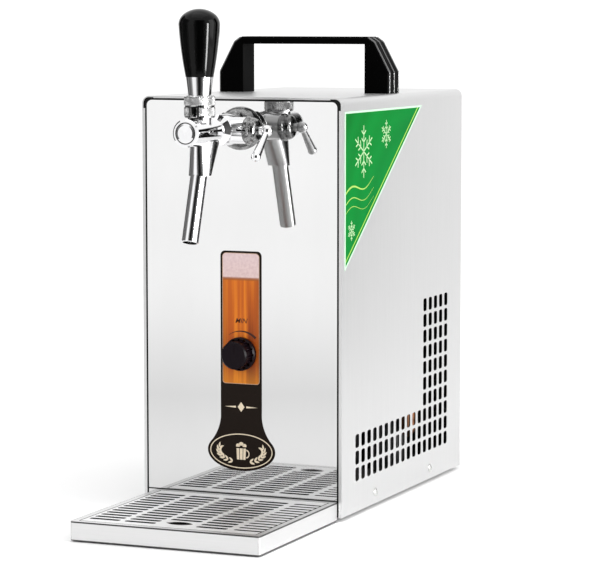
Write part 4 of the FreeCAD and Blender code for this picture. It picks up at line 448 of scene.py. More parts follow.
def cast_chrome(name, low, high, roughness):
    """Plated castings: a dark mottled tone, a painted reflection of busy surroundings, over a slightly pitted
    skin; faces that look to the rear get painted shade.
    """
    shades = Shades(name, high, metallic=1.0, roughness=roughness)
    pits = shades.noise((900, 900, 900), detail=3.0, roughness=0.7)
    cloud = shades.noise((160, 160, 160), detail=3.0)
    mixed = shades.math("MULTIPLY_ADD", cloud, 0.5, shades.math("MULTIPLY", pits, 0.5))
    tone = shades.blend(shades.spread(mixed, 0.4, 0.6), low, high)
    # Painted shade: faces that look to the rear go darker
    rear_shade = shades.math("MULTIPLY", back_of(shades), 0.7)
    shades.put("Base Color", shades.blend(rear_shade, tone, (0.08, 0.08, 0.08)))
    shades.put("Roughness", shades.spread(pits, 0.3, 0.7, roughness * 0.6, roughness * 1.5))
    shades.bump(mixed, 0.06 * MM)
    return shades.material


def chrome_plate(name, color, roughness):
    """Chrome plating with a trace of orange peel and fingerprints; faces that look to the rear get painted
    shade.
    """
    shades = Shades(name, color, metallic=1.0, roughness=roughness)
    film = shades.noise((90, 90, 90), detail=4.0)
    film_rough = shades.spread(film, 0.4, 0.75, roughness * 0.6, roughness * 2.2)
    shades.put("Roughness", shades.math("MULTIPLY_ADD", back_of(shades), 0.35, film_rough))
    peel = shades.noise((260, 260, 260), detail=1.0)
    shades.bump(peel, 0.008 * MM)
    bright = shades.blend(film, color, times(color, 0.96))
    # Painted shade: faces that look to the rear go dark grey
    shades.put("Base Color", shades.blend(back_of(shades), bright, (0.3, 0.3, 0.3)))
    return shades.material


def moulded_plastic(name, color, roughness, coat, grain=900, depth=0.02, specular=0.5):
    """Moulded plastic with a fine skin texture and slight gloss changes."""
    shades = Shades(name, color, roughness=roughness, coat=coat, coat_roughness=0.08, specular=specular)
    skin = shades.noise((grain, grain, grain), detail=2.0)
    patches = shades.noise((40, 40, 40), detail=3.0)
    shades.put("Roughness", shades.spread(patches, 0.3, 0.7, roughness * 0.8, roughness * 1.25))
    shades.put("Base Color", shades.blend(shades.spread(patches, 0.35, 0.7), color, times(color, 1.25)))
    shades.bump(skin, depth * MM)
    return shades.material


def rubber_skin(name, color, dusty=(0.09, 0.085, 0.08)):
    """Dull dark skin with dusty speckles."""
    shades = Shades(name, color, roughness=0.75)
    dust = shades.noise((500, 500, 500), detail=5.0, roughness=0.7)
    shades.put("Base Color", shades.blend(shades.spread(dust, 0.5, 0.8), color, dusty))
    shades.bump(dust, 0.05 * MM)
    return shades.material


def aged_copper(name, color):
    """Bare copper tube, darkened in patches."""
    shades = Shades(name, color, metallic=1.0, roughness=0.3)
    patches = shades.noise((70, 70, 70), detail=5.0)
    shades.put("Base Color", shades.blend(shades.spread(patches, 0.4, 0.75), color, (0.35, 0.15, 0.08)))
    shades.put("Roughness", shades.spread(patches, 0.3, 0.8, 0.2, 0.5))
    shades.bump(patches, 0.03 * MM)
    return shades.material


def foam_block(name, color):
    """Moulded foam with a beaded surface."""
    shades = Shades(name, color, roughness=0.9)
    beads = shades.add("ShaderNodeTexVoronoi", {"Vector": shades.point(), "Scale": 300.0})
    shades.put("Base Color", shades.blend(shades.spread(beads, 0.0, 0.6), color,
                                          times(color, 0.8)))
    shades.bump(beads, 0.3 * MM)
    return shades.material


def filter_mat(name):
    """Open black mesh with a little dust."""
    shades = Shades(name, (0.006, 0.006, 0.006), roughness=0.95, specular=0.05)
    cells = shades.add("ShaderNodeTexVoronoi", {"Vector": shades.point(), "Scale": 900.0})
    dust = shades.noise((60, 60, 60), detail=4.0)
    shades.put("Base Color", shades.blend(shades.spread(dust, 0.5, 0.85), (0.006, 0.006, 0.006),
                                          (0.03, 0.029, 0.027)))
    shades.bump(cells, 0.3 * MM)
    return shades.material


def label_board(name):
    """The label's black varnished board."""
    shades = Shades(name, (0.011, 0.007, 0.005), roughness=0.3, specular=0.06)
    specks = shades.noise((1400, 1400, 1400), detail=3.0)
    shades.put("Base Color", shades.blend(shades.spread(specks, 0.5, 0.8), (0.011, 0.007, 0.005),
                                          (0.024, 0.016, 0.012)))
    shades.bump(specks, 0.01 * MM)
    return shades.material


def beer_print(name):
    """A printed glass of beer: amber with upright streaks, under a band of pale foam."""
    shades = Shades(name, (0.55, 0.27, 0.07), roughness=0.3, specular=0.2)
    x, _, z = shades.axes()
    streaks = shades.noise((88, 0, 3), detail=3.0, roughness=0.5, origin=(0.3, 0, 0))
    amber = shades.ramp(streaks, (0.35, (0.15, 0.022, 0.003)), (0.45, (0.40, 0.075, 0.005)),
                        (0.54, (0.76, 0.22, 0.012)), (0.65, (0.44, 0.084, 0.006)))
    side = shades.spread(shades.math("ABSOLUTE", x), 9.5, 17.5, 0.0, 0.7, smooth=True)
    amber = shades.blend(side, amber, (0.21, 0.038, 0.005))
    rise = shades.spread(z, 140, FOAM_LINE, 0.0, 0.35)
    amber = shades.blend(rise, amber, (0.64, 0.155, 0.014))
    glow = shades.spread(z, 122, 107, 0.0, 0.5)
    amber = shades.blend(glow, amber, (0.68, 0.26, 0.02))
    bubbles = shades.noise((420, 0, 420), detail=4.0)
    foam = shades.blend(shades.spread(bubbles, 0.35, 0.7), (0.60, 0.43, 0.42), (0.74, 0.58, 0.55))
    top = shades.spread(z, FOAM_LINE, FOAM_LINE + 19, 0.0, 0.35)
    foam = shades.blend(top, foam, (0.72, 0.58, 0.62))
    mixed = shades.blend(shades.spread(z, FOAM_LINE - 0.4, FOAM_LINE + 0.5, smooth=True), amber, foam)
    line = shades.spread(shades.math("ABSOLUTE", shades.math("SUBTRACT", z, FOAM_LINE)), 0.5, 1.8, 0.85, 0.0,
                         smooth=True)
    shades.put("Base Color", shades.blend(line, mixed, (0.30, 0.09, 0.02)))
    shades.bump(bubbles, 0.006 * MM)
    return shades.material


def ink(name, color, wear=(0.8, 0.8, 0.8)):
    """Printing ink with a faint screen texture."""
    shades = Shades(name, color, roughness=0.35, specular=0.25)
    screen = shades.noise((1800, 1800, 1800), detail=2.0)
    shades.put("Base Color", shades.blend(shades.spread(screen, 0.35, 0.75), color,
                                          tuple(a * b for a, b in zip(color, wear))))
    shades.bump(screen, 0.004 * MM)
    return shades.material


def sticker_print(name, color, line_color):
    """A green triangle with a pale edge, a fine inner line and wide soft ripples."""
    shades = Shades(name, color, roughness=0.5, specular=0.02)
    low, high = STICKER_LOW / MM, STICKER_HIGH / MM
    _, y, z = shades.axes()
    from_front = shades.math("SUBTRACT", y, low.y)
    from_top = shades.math("SUBTRACT", high.z, z)
    length, drop = high.y - low.y, high.z - low.z
    slope = math.hypot(length, drop)
    used = shades.math("ADD", shades.math("DIVIDE", from_front, length),
                       shades.math("DIVIDE", from_top, drop))
    from_slant = shades.math("MULTIPLY", shades.math("SUBTRACT", 1.0, used), length * drop / slope)
    nearest = shades.math("MINIMUM", shades.math("MINIMUM", from_front, from_top), from_slant)
    tone = shades.ramp(shades.spread(shades.math("ADD", from_front, from_top), 0, 170),
                       (0.0, (0.0, 0.16, 0.018)), (0.45, (0.0, 0.225, 0.028)), (1.0, (0.0, 0.19, 0.03)))
    legs = [shades.math("POWER", shades.math("SUBTRACT", value, middle), 2.0)
            for value, middle in ((from_front, 150.0), (from_top, 120.0))]
    reach = shades.math("SQRT", shades.math("ADD", *legs))
    ripple = shades.spread(shades.math("PINGPONG", reach, 13.0), 0.0, 13.0, 0.0, 0.3, smooth=True)
    tone = shades.blend(ripple, tone, (0.0, 0.28, 0.04))
    off_line = shades.math("ABSOLUTE", shades.math("SUBTRACT", from_slant, 4.6))
    tone = shades.blend(shades.spread(off_line, 0.35, 0.65, 1.0, 0.0), tone, line_color)
    edge = shades.spread(nearest, 1.3, 1.7, 1.0, 0.0)
    shades.put("Base Color", shades.blend(edge, tone, (0.62, 0.86, 0.66)))
    grain = shades.noise((900, 900, 900), detail=2.0)
    shades.bump(grain, 0.008 * MM)
    return shades.material


MATERIALS = {}

# Nodes whose finish differs a little from that of the rest of their slot
SPECIAL = {"tray_grille": "grille_steel", "rosette": "cast_chrome", "coupling_nut": "cast_chrome",
           "compensator_cap": "cast_chrome", "bonnet_nut": "knurled_chrome",
           "lever_collar": "knurled_chrome", "thermostat_knob": "knob_black"}


def make_materials(settings):
    """Every finish of the cooler, under its own name."""
    steel = tuple(settings.steel)
    MATERIALS.update({
        "satin_steel": cover_finish("satin_steel", steel, settings.satin),
        "mirror_steel": panel_finish("mirror_steel", (0.86, 0.86, 0.86), settings.mirror, 0.03 * MM),
        "tray_steel": tray_finish("tray_steel", (0.75, 0.75, 0.75)),
        "grille_steel": grille_finish("grille_steel", (0.9, 0.9, 0.9)),
        # rolled_edge is black; the grille's rings of painted shade use it
        "rolled_edge": rubber_skin("rolled_edge", (0.004, 0.004, 0.004), (0.02, 0.02, 0.02)),
        # Darker, mottled copies of the tap's chrome: their dark tones and mottle are painted reflection
        "cast_chrome": cast_chrome("cast_chrome", (0.03, 0.03, 0.03), (0.36, 0.36, 0.36), 0.14),
        "knurled_chrome": cast_chrome("knurled_chrome", (0.22, 0.22, 0.22), (0.78, 0.78, 0.78), 0.1),
        "black_trim": moulded_plastic("black_trim", (0.004, 0.004, 0.004), 0.5, 0.0, specular=0.2),
        "black_gloss": moulded_plastic("black_gloss", (0.001, 0.001, 0.001), 0.09, 0.0, 500, 0.002,
                                       specular=0.16),
        "knob_black": moulded_plastic("knob_black", (0.006, 0.003, 0.005), 0.3, 0.0, 700, 0.03,
                                      specular=0.08),
        "black_handle": moulded_plastic("black_handle", (0.001, 0.001, 0.001), 0.36, 0.0, specular=0.01),
        "label_print": label_board("label_print"),
        "beer_print": beer_print("beer_print"),
        "cream_ink": ink("cream_ink", (0.82, 0.70, 0.52)),
        "window_ink": ink("window_ink", (0.55, 0.36, 0.24)),
        "dark_ink": ink("dark_ink", (0.035, 0.01, 0.005), (1.6, 1.5, 1.5)),
        "lime_ink": ink("lime_ink", (0.42, 0.72, 0.10)),
        "pale_ink": ink("pale_ink", (0.55, 0.85, 0.45)),
        "sticker_print": sticker_print("sticker_print", (0.0, 0.3, 0.06), (0.45, 0.75, 0.12)),
        "tap_chrome": chrome_plate("tap_chrome", (0.88, 0.88, 0.89), settings.chrome),
        "bare_steel": brushed_steel("bare_steel", (0.72, 0.72, 0.71), 1500, 0.22, 0.004 * MM),
        # rail_black is lighter than the handle's black: a painted highlight along the ribs
        "rail_black": moulded_plastic("rail_black", (0.1, 0.1, 0.1), 0.15, 0.0, specular=1.0),
        "rubber": rubber_skin("rubber", (0.018, 0.018, 0.018)),
        "grey_plastic": moulded_plastic("grey_plastic", (0.5, 0.51, 0.52), 0.45, 0.1),
        "black_matte": moulded_plastic("black_matte", (0.015, 0.015, 0.015), 0.55, 0.0),
        "filter_mat": filter_mat("filter_mat"),
        "motor_metal": moulded_plastic("motor_metal", (0.02, 0.02, 0.02), 0.3, 0.4, 300, 0.05),
        "zinc_plate": brushed_steel("zinc_plate", (0.6, 0.6, 0.57), 60, 0.4, 0.02 * MM),
        "cast_aluminium": brushed_steel("cast_aluminium", (0.2, 0.2, 0.2), 300, 0.5, 0.03 * MM),
        "copper": aged_copper("copper", (0.42, 0.2, 0.11)),
        "beer_tube": brushed_steel("beer_tube", (0.7, 0.7, 0.69), 700, 0.25, 0.004 * MM),
        "foam": foam_block("foam", (0.03, 0.03, 0.032)),
    })


# Sizes and colours that a user would change
class StageSettings(bpy.types.PropertyGroup):
    """The studio."""
    lens: FloatProperty(name="Lens", description="Focal length of the camera", default=158.1, min=10.0,
                        unit="CAMERA")
    floor_half: FloatProperty(name="Floor reach", description="Half the width of the floor", default=14.0,
                              unit="LENGTH")
    surround: FloatProperty(name="Surround", description="Strength of the light from all round",
                            default=1.13, min=0.0)
    # The ring is painted shade on the floor in front, where the panel mirrors it
    ring: FloatProperty(name="Ring", description="Brightness of the floor's greyer part", default=0.8,
                        min=0.0, max=1.0, subtype="FACTOR")
    screen_reach: FloatProperty(name="Screens", description="Distance of the dark screens", default=0.85,
                                unit="LENGTH")
    side_power: FloatProperty(name="Side light", description="Power of the tall light on the right",
                              default=9.0, unit="POWER")
    strip_power: FloatProperty(name="Strip light", description="Power of the narrow light for highlights",
                               default=14.0, unit="POWER")
    left_power: FloatProperty(name="Left light", description="Power of the light on the left",
                              default=3.0, unit="POWER")
    top_power: FloatProperty(name="Top light", description="Power of the light above", default=4.0,
                             unit="POWER")
    floor_color: FloatVectorProperty(name="Floor", description="Colour of the floor",
                                     default=(0.985, 0.985, 0.985), subtype="COLOR", size=3)


class FinishSettings(bpy.types.PropertyGroup):
    """Finishes of the metals."""
    steel: FloatVectorProperty(name="Steel", description="Colour of the case's steel",
                               default=(0.70, 0.70, 0.70), subtype="COLOR", size=3)
    satin: FloatProperty(name="Satin", description="Roughness of the cover", default=0.36, min=0.0, max=1.0,
                         subtype="FACTOR")
    mirror: FloatProperty(name="Mirror", description="Roughness of the front panel", default=0.035,
                          min=0.0, max=1.0, subtype="FACTOR")
    chrome: FloatProperty(name="Chrome", description="Roughness of the tap", default=0.04, min=0.0,
                          max=1.0, subtype="FACTOR")


class LabelSettings(bpy.types.PropertyGroup):
    """The print on the front label."""
    window_half: FloatProperty(name="Window half width", description="Half the width of the beer window",
                               default=16.3 * MM, unit="LENGTH")
    window_low: FloatProperty(name="Window bottom", description="Height of the window's lower edge",
                              default=106.8 * MM, unit="LENGTH")
    window_high: FloatProperty(name="Window top", description="Height of the window's upper edge",
                               default=212.9 * MM, unit="LENGTH")
    oval_height: FloatProperty(name="Oval height", description="Height of the oval's middle",
                               default=52.0 * MM, unit="LENGTH")
    oval_long: FloatProperty(name="Oval half length", description="Half the length of the oval's line",
                             default=27.6 * MM, unit="LENGTH")
    oval_short: FloatProperty(name="Oval half height", description="Half the height of the oval's line",
                              default=14.2 * MM, unit="LENGTH")
    line_width: FloatProperty(name="Line", description="Width of the oval's line", default=0.8 * MM,
                              unit="LENGTH")
    scale_radius: FloatProperty(name="Scale radius", description="Radius of the scale round the knob",
                                default=18.3 * MM, unit="LENGTH")
    grains: IntProperty(name="Grains", description="Grains on each side of an ear", default=7, min=2, max=20)


class EdgeSettings(bpy.types.PropertyGroup):
    """The rings of painted shade round the grille's slots."""
    width: FloatProperty(name="Edge width", description="Width of the dark edge round a slot",
                         default=0.75 * MM, unit="LENGTH")


class FilterSettings(bpy.types.PropertyGroup):
    """The dust mat inside the rear panel."""
    half: FloatProperty(name="Half width", description="Half the width of the mat", default=60.0 * MM,
                        unit="LENGTH")
    low: FloatProperty(name="Bottom", description="Height of the mat's lower edge", default=39.0 * MM,
                       unit="LENGTH")
    high: FloatProperty(name="Top", description="Height of the mat's upper edge", default=151.0 * MM,
                        unit="LENGTH")
    thickness: FloatProperty(name="Thickness", description="Thickness of the mat", default=1.2 * MM,
                             unit="LENGTH")


class ScrewSettings(bpy.types.PropertyGroup):
    """The case's screws."""
    head_radius: FloatProperty(name="Head radius", description="Radius of a screw's head",
                               default=3.6 * MM, unit="LENGTH")
    head_height: FloatProperty(name="Head height", description="Height of a screw's head",
                               default=1.55 * MM, unit="LENGTH")
    recess: FloatProperty(name="Recess", description="Half the width of the cross recess",
                          default=0.42 * MM, unit="LENGTH")


class RibSettings(bpy.types.PropertyGroup):
    """The ribs on the handle's ends."""
    count: IntProperty(name="Ribs", description="Ribs on each end of the handle", default=3, min=2, max=12)
    radius: FloatProperty(name="Rib radius", description="Radius of one rib", default=0.8 * MM,
                          unit="LENGTH")


class KnurlSettings(bpy.types.PropertyGroup):
    """The knurling of the lever's collar and the bonnet nut."""
    around: IntProperty(name="Teeth round", description="Teeth in one ring", default=44, min=8, max=120)
    rows: IntProperty(name="Rows", description="Rings of teeth on each piece", default=5, min=1, max=12)
    height: FloatProperty(name="Tooth height", description="Height of one tooth", default=0.45 * MM,
                          unit="LENGTH")


SETTINGS = (StageSettings, FinishSettings, LabelSettings, EdgeSettings, FilterSettings, ScrewSettings,
            RibSettings, KnurlSettings)


def settings_of(kind):
    """The scene's settings of one kind."""
    return getattr(bpy.context.scene, "cooler_" + kind)


# Geometry Nodes
def tree_with(name, *inputs):
    """An empty node tree with geometry in and out and named inputs of given kinds."""
    tree = bpy.data.node_groups.new(name, "GeometryNodeTree")
    tree.interface.new_socket("Geometry", in_out="INPUT", socket_type="NodeSocketGeometry")
    for label, kind in inputs:
        tree.interface.new_socket(label, in_out="INPUT", socket_type=kind)
    tree.interface.new_socket("Geometry", in_out="OUTPUT", socket_type="NodeSocketGeometry")
    return tree


def tree_node(tree, kind, links, **settings):
    """Add a node to a tree and feed its inputs."""
    made = tree.nodes.new(kind)
    for name, value in settings.items():
        setattr(made, name, value)
    for name, value in links.items():
        if isinstance(value, bpy.types.NodeSocket):
            tree.links.new(value, made.inputs[name])
        else:
            made.inputs[name].default_value = value
    return made


def end_tree(tree, geometry, material):
    """Realize the instances, set the material and lead to the output."""
    real = tree_node(tree, "GeometryNodeRealizeInstances", {"Geometry": geometry})
    painted = tree_node(tree, "GeometryNodeSetMaterial", {"Geometry": real.outputs[0], "Material": material})
    tree_node(tree, "NodeGroupOutput", {"Geometry": painted.outputs[0]})


def run_tree(item, tree, values, name):
    """Evaluate a tree on an object with its named inputs, and keep the plain mesh."""
    modifier = item.modifiers.new("nodes", "NODES")
    modifier.node_group = tree
    for socket in tree.interface.items_tree:
        if socket.item_type == "SOCKET" and socket.in_out == "INPUT" and socket.name in values:
            modifier[socket.identifier] = values[socket.name]
    return plain_mesh(item, name)


def scatter_tree(name, material):
    """Instances of one shape on the points of a mesh, each turned by the point's own attribute."""
    tree = tree_with(name, ("Shape", "NodeSocketObject"), ("Size", "NodeSocketFloat"),
                     ("Variation", "NodeSocketFloat"), ("Seed", "NodeSocketInt"))
    given = tree.nodes.new("NodeGroupInput")
    shape = tree_node(tree, "GeometryNodeObjectInfo", {"Object": given.outputs["Shape"]})
    turn = tree_node(tree, "GeometryNodeInputNamedAttribute", {"Name": "turn"}, data_type="FLOAT_VECTOR")
    low = tree_node(tree, "ShaderNodeMath", {0: 1.0, 1: given.outputs["Variation"]}, operation="SUBTRACT")
    high = tree_node(tree, "ShaderNodeMath", {0: 1.0, 1: given.outputs["Variation"]}, operation="ADD")
    random = tree_node(tree, "FunctionNodeRandomValue", {}, data_type="FLOAT")
    tree.links.new(low.outputs[0], random.inputs[2])
    tree.links.new(high.outputs[0], random.inputs[3])
    tree.links.new(given.outputs["Seed"], random.inputs["Seed"])
    size = tree_node(tree, "ShaderNodeMath", {0: random.outputs[1], 1: given.outputs["Size"]},
                     operation="MULTIPLY")
    placed = tree_node(tree, "GeometryNodeInstanceOnPoints",
                       {"Points": given.outputs["Geometry"], "Instance": shape.outputs["Geometry"],
                        "Rotation": turn.outputs[0], "Scale": size.outputs[0]})
    end_tree(tree, placed.outputs[0], material)
    return tree


def scatter(name, shape, places, material, size=1.0, variation=0.0, seed=1):
    """One object with a copy of a shape at each (point, turn)."""
    mesh = bpy.data.meshes.new(name + "_points")
    mesh.from_pydata([tuple(point) for point, _ in places], [], [])
    turns = mesh.attributes.new("turn", "FLOAT_VECTOR", "POINT")
    for value, (_, turn) in zip(turns.data, places):
        value.vector = tuple(turn)
    item = add_object(name, mesh)
    values = {"Shape": shape, "Size": size, "Variation": variation, "Seed": seed}
    run_tree(item, scatter_tree(name, material), values, name)
    bpy.data.objects.remove(shape)
    return item


def turn_to(direction):
    """The Euler turn that points a shape's own +Z along a direction."""
    direction = Vector(direction).normalized()
    side = Vector((0, 0, 1)).cross(direction)
    if side.length < 1e-6:
        side = Vector((1, 0, 0))
    side.normalize()
    matrix = Matrix((side, direction.cross(side), direction)).transposed()
    return matrix.to_euler()


def lathe(name, profile, steps):
    """A closed turned mesh about its own Z axis; the profile runs from axis to axis."""
    vertices, faces, rings = [], [], []
    for radius, height in profile:
        if radius < 1e-9:
            rings.append([len(vertices)] * steps)
            vertices.append((0, 0, height))
            continue
        rings.append(list(range(len(vertices), len(vertices) + steps)))
        vertices += [(radius * math.cos(2 * math.pi * i / steps),
                      radius * math.sin(2 * math.pi * i / steps), height) for i in range(steps)]
    for lower, upper in zip(rings, rings[1:]):
        for i in range(steps):
            corners = [lower[i], lower[(i + 1) % steps], upper[(i + 1) % steps], upper[i]]
            face = list(dict.fromkeys(corners))
            if len(face) > 2:
                faces.append(face)
    return mesh_of(name, vertices, faces, smooth=True)


# Operators
class COOLER_OT_stage(bpy.types.Operator):
    """Camera at the photograph's angle, pale floor and soft studio lights"""
    bl_idname = "cooler.stage"
    bl_label = "Stage"

    def execute(self, context):
        settings = settings_of("stage")
        scene = context.scene
        scene.view_settings.view_transform = "Standard"
        lens = bpy.data.cameras.new("camera")
        lens.lens = settings.lens
        lens.sensor_width = 36.0
        camera = bpy.data.objects.new("camera", lens)
        yaw, pitch = math.radians(CAMERA_YAW), math.radians(CAMERA_PITCH)
        ahead = Vector((-math.sin(yaw) * math.cos(pitch), math.cos(yaw) * math.cos(pitch), -math.sin(pitch)))
        camera.matrix_world = (Matrix.Translation(CAMERA_PLACE)
                               @ ahead.to_track_quat("-Z", "Y").to_matrix().to_4x4())
        scene.collection.objects.link(camera)
        scene.camera = camera

        half = settings.floor_half
        floor = add_object("floor", mesh_of("floor", [(-half, -half, 0), (half, -half, 0), (half, half, 0),
                                                      (-half, half, 0)], [[0, 1, 2, 3]]))
        floor.data.materials.append(self.floor_finish(settings))
        screens = add_object("dark_screens", self.screen_mesh(settings))
        screens.data.materials.append(self.cloth())
        screens.visible_camera = False
        screens.visible_diffuse = False
        screens.visible_shadow = False

        self.light(scene, "side_light", settings.side_power, (1.7, 0.15, 0.75), (0, 0, 0.3), (0.9, 1.4))
        strip = self.light(scene, "strip_light", settings.strip_power, (0.93, -0.43, 0.31), (0, -0.15, 0.31),
                           (0.16, 0.6))
        strip.visible_diffuse = False
        self.light(scene, "left_light", settings.left_power, (-1.8, -1.2, 1.0), (0, -0.1, 0.2), (0.8, 1.4))
        self.light(scene, "top_light", settings.top_power, (0.0, -0.2, 2.1), (0, 0, 0.2), (1.6, 1.6))
        self.surround(scene, settings.surround)
        return {"FINISHED"}

    def floor_finish(self, settings):
        """A pale floor with painted shade: greyer some way in front, where the mirror panel looks, so that
        the panel mirrors it darker.
        """
        tone = tuple(settings.floor_color)
        shades = Shades("floor", tone, roughness=0.8, specular=0.1)
        x, y, _ = shades.axes(origin=(0, PANEL_FRONT, 0))
        ahead = shades.math("MULTIPLY_ADD", x, MIRRORED_X, shades.math("MULTIPLY", y, MIRRORED_Y))
        near = shades.spread(ahead, 280, 900, 1.0, 0.0, smooth=True)
        far = shades.math("SQRT", shades.spread(ahead, 400, 4800, 0.0, 1.0))
        bright = shades.math("MAXIMUM", near, far)
        cloud = shades.noise((2, 2, 2), detail=2.0)
        bright = shades.math("MULTIPLY_ADD", cloud, 0.03, bright, clamp=True)
        shades.put("Base Color", shades.blend(bright, times(tone, settings.ring), tone))
        return shades.material

    def cloth(self):
        """Cloth whose tone changes with the direction from the tap, as in a tent of grey and black."""
        shades = Shades("screen_cloth", (0.1, 0.1, 0.1), roughness=0.95, specular=0.0)
        x, y, _ = shades.axes(origin=(0, LEVER_Y, 0))
        angle = shades.math("MULTIPLY", shades.math("ARCTAN2", y, x), 180 / math.pi)
        around = shades.math("WRAP", angle, 360.0, 0.0)
        weave = shades.noise((40, 40, 40), detail=3.0)
        tones = ((0, 0.9), (36, 0.5), (40, 0.01), (54, 0.01), (58, 0.5), (150, 0.6), (156, 0.02), (168, 0.02),
                 (176, 0.16), (203, 0.1), (222, 0.2), (234, 0.7), (262, 0.7), (272, 0.18), (286, 0.006),
                 (301, 0.01), (316, 0.08), (328, 0.4), (340, 0.9))
        tone = shades.ramp(shades.math("DIVIDE", around, 360.0),
                           *[(degrees / 360, (value,) * 3) for degrees, value in tones])
        shades.put("Base Color", tone)
        shades.bump(weave, 0.2 * MM)
        return shades.material

    def screen_mesh(self, settings):
        """Upright curved cloths that only the metals reflect."""
        vertices, faces = [], []
        for start, end, low, high in SCREENS:
            steps = 16
            base = len(vertices)
            for step in range(steps + 1):
                angle = math.radians(start + (end - start) * step / steps)
                for height in (low, high):
                    vertices.append((settings.screen_reach * math.cos(angle),
                                     LEVER_Y + settings.screen_reach * math.sin(angle), height))
            faces += [[base + 2 * i, base + 2 * i + 1, base + 2 * i + 3, base + 2 * i + 2]
                      for i in range(steps)]
        return mesh_of("dark_screens", vertices, faces)

    def light(self, scene, name, power, place, target, size):
        """One soft rectangular light that the camera doesn't see."""
        data = bpy.data.lights.new(name, "AREA")
        data.shape = "RECTANGLE"
        data.size, data.size_y = size
        data.energy = power
        item = bpy.data.objects.new(name, data)
        direction = Vector(target) - Vector(place)
        item.matrix_world = (Matrix.Translation(place)
                             @ direction.to_track_quat("-Z", "Y").to_matrix().to_4x4())
        item.visible_camera = False
        scene.collection.objects.link(item)
        return item

    def surround(self, scene, strength):
        """An even white room, a little darker above."""
        world = bpy.data.worlds.new("studio")
        world.use_nodes = True
        scene.world = world
        tree = world.node_tree
        tree.nodes.clear()
        output = tree.nodes.new("ShaderNodeOutputWorld")
        place = tree.nodes.new("ShaderNodeTexCoord").outputs["Generated"]
        parts = tree.nodes.new("ShaderNodeSeparateXYZ")
        tree.links.new(place, parts.inputs[0])
        level = tree.nodes.new("ShaderNodeMapRange")
        level.inputs["From Min"].default_value = 0.25
        level.inputs["From Max"].default_value = 1.0
        level.inputs["To Min"].default_value = strength
        level.inputs["To Max"].default_value = strength * 0.93
        tree.links.new(parts.outputs[2], level.inputs["Value"])
        room = tree.nodes.new("ShaderNodeBackground")
        room.inputs["Color"].default_value = (1, 1, 1, 1)
        tree.links.new(level.outputs[0], room.inputs["Strength"])
        tree.links.new(room.outputs[0], output.inputs["Surface"])


class COOLER_OT_finishes(bpy.types.Operator):
    """Give every CAD node the finish of its material slot"""
    bl_idname = "cooler.finishes"
    bl_label = "Finishes"

    def execute(self, context):
        make_materials(settings_of("finish"))
        for part in frame["record"]["subparts"]:
            mesh = NODES[part["node"]].data
            mesh.materials.clear()
            mesh.materials.append(MATERIALS[SPECIAL.get(part["node"], part["material_slot"])])
        return {"FINISHED"}


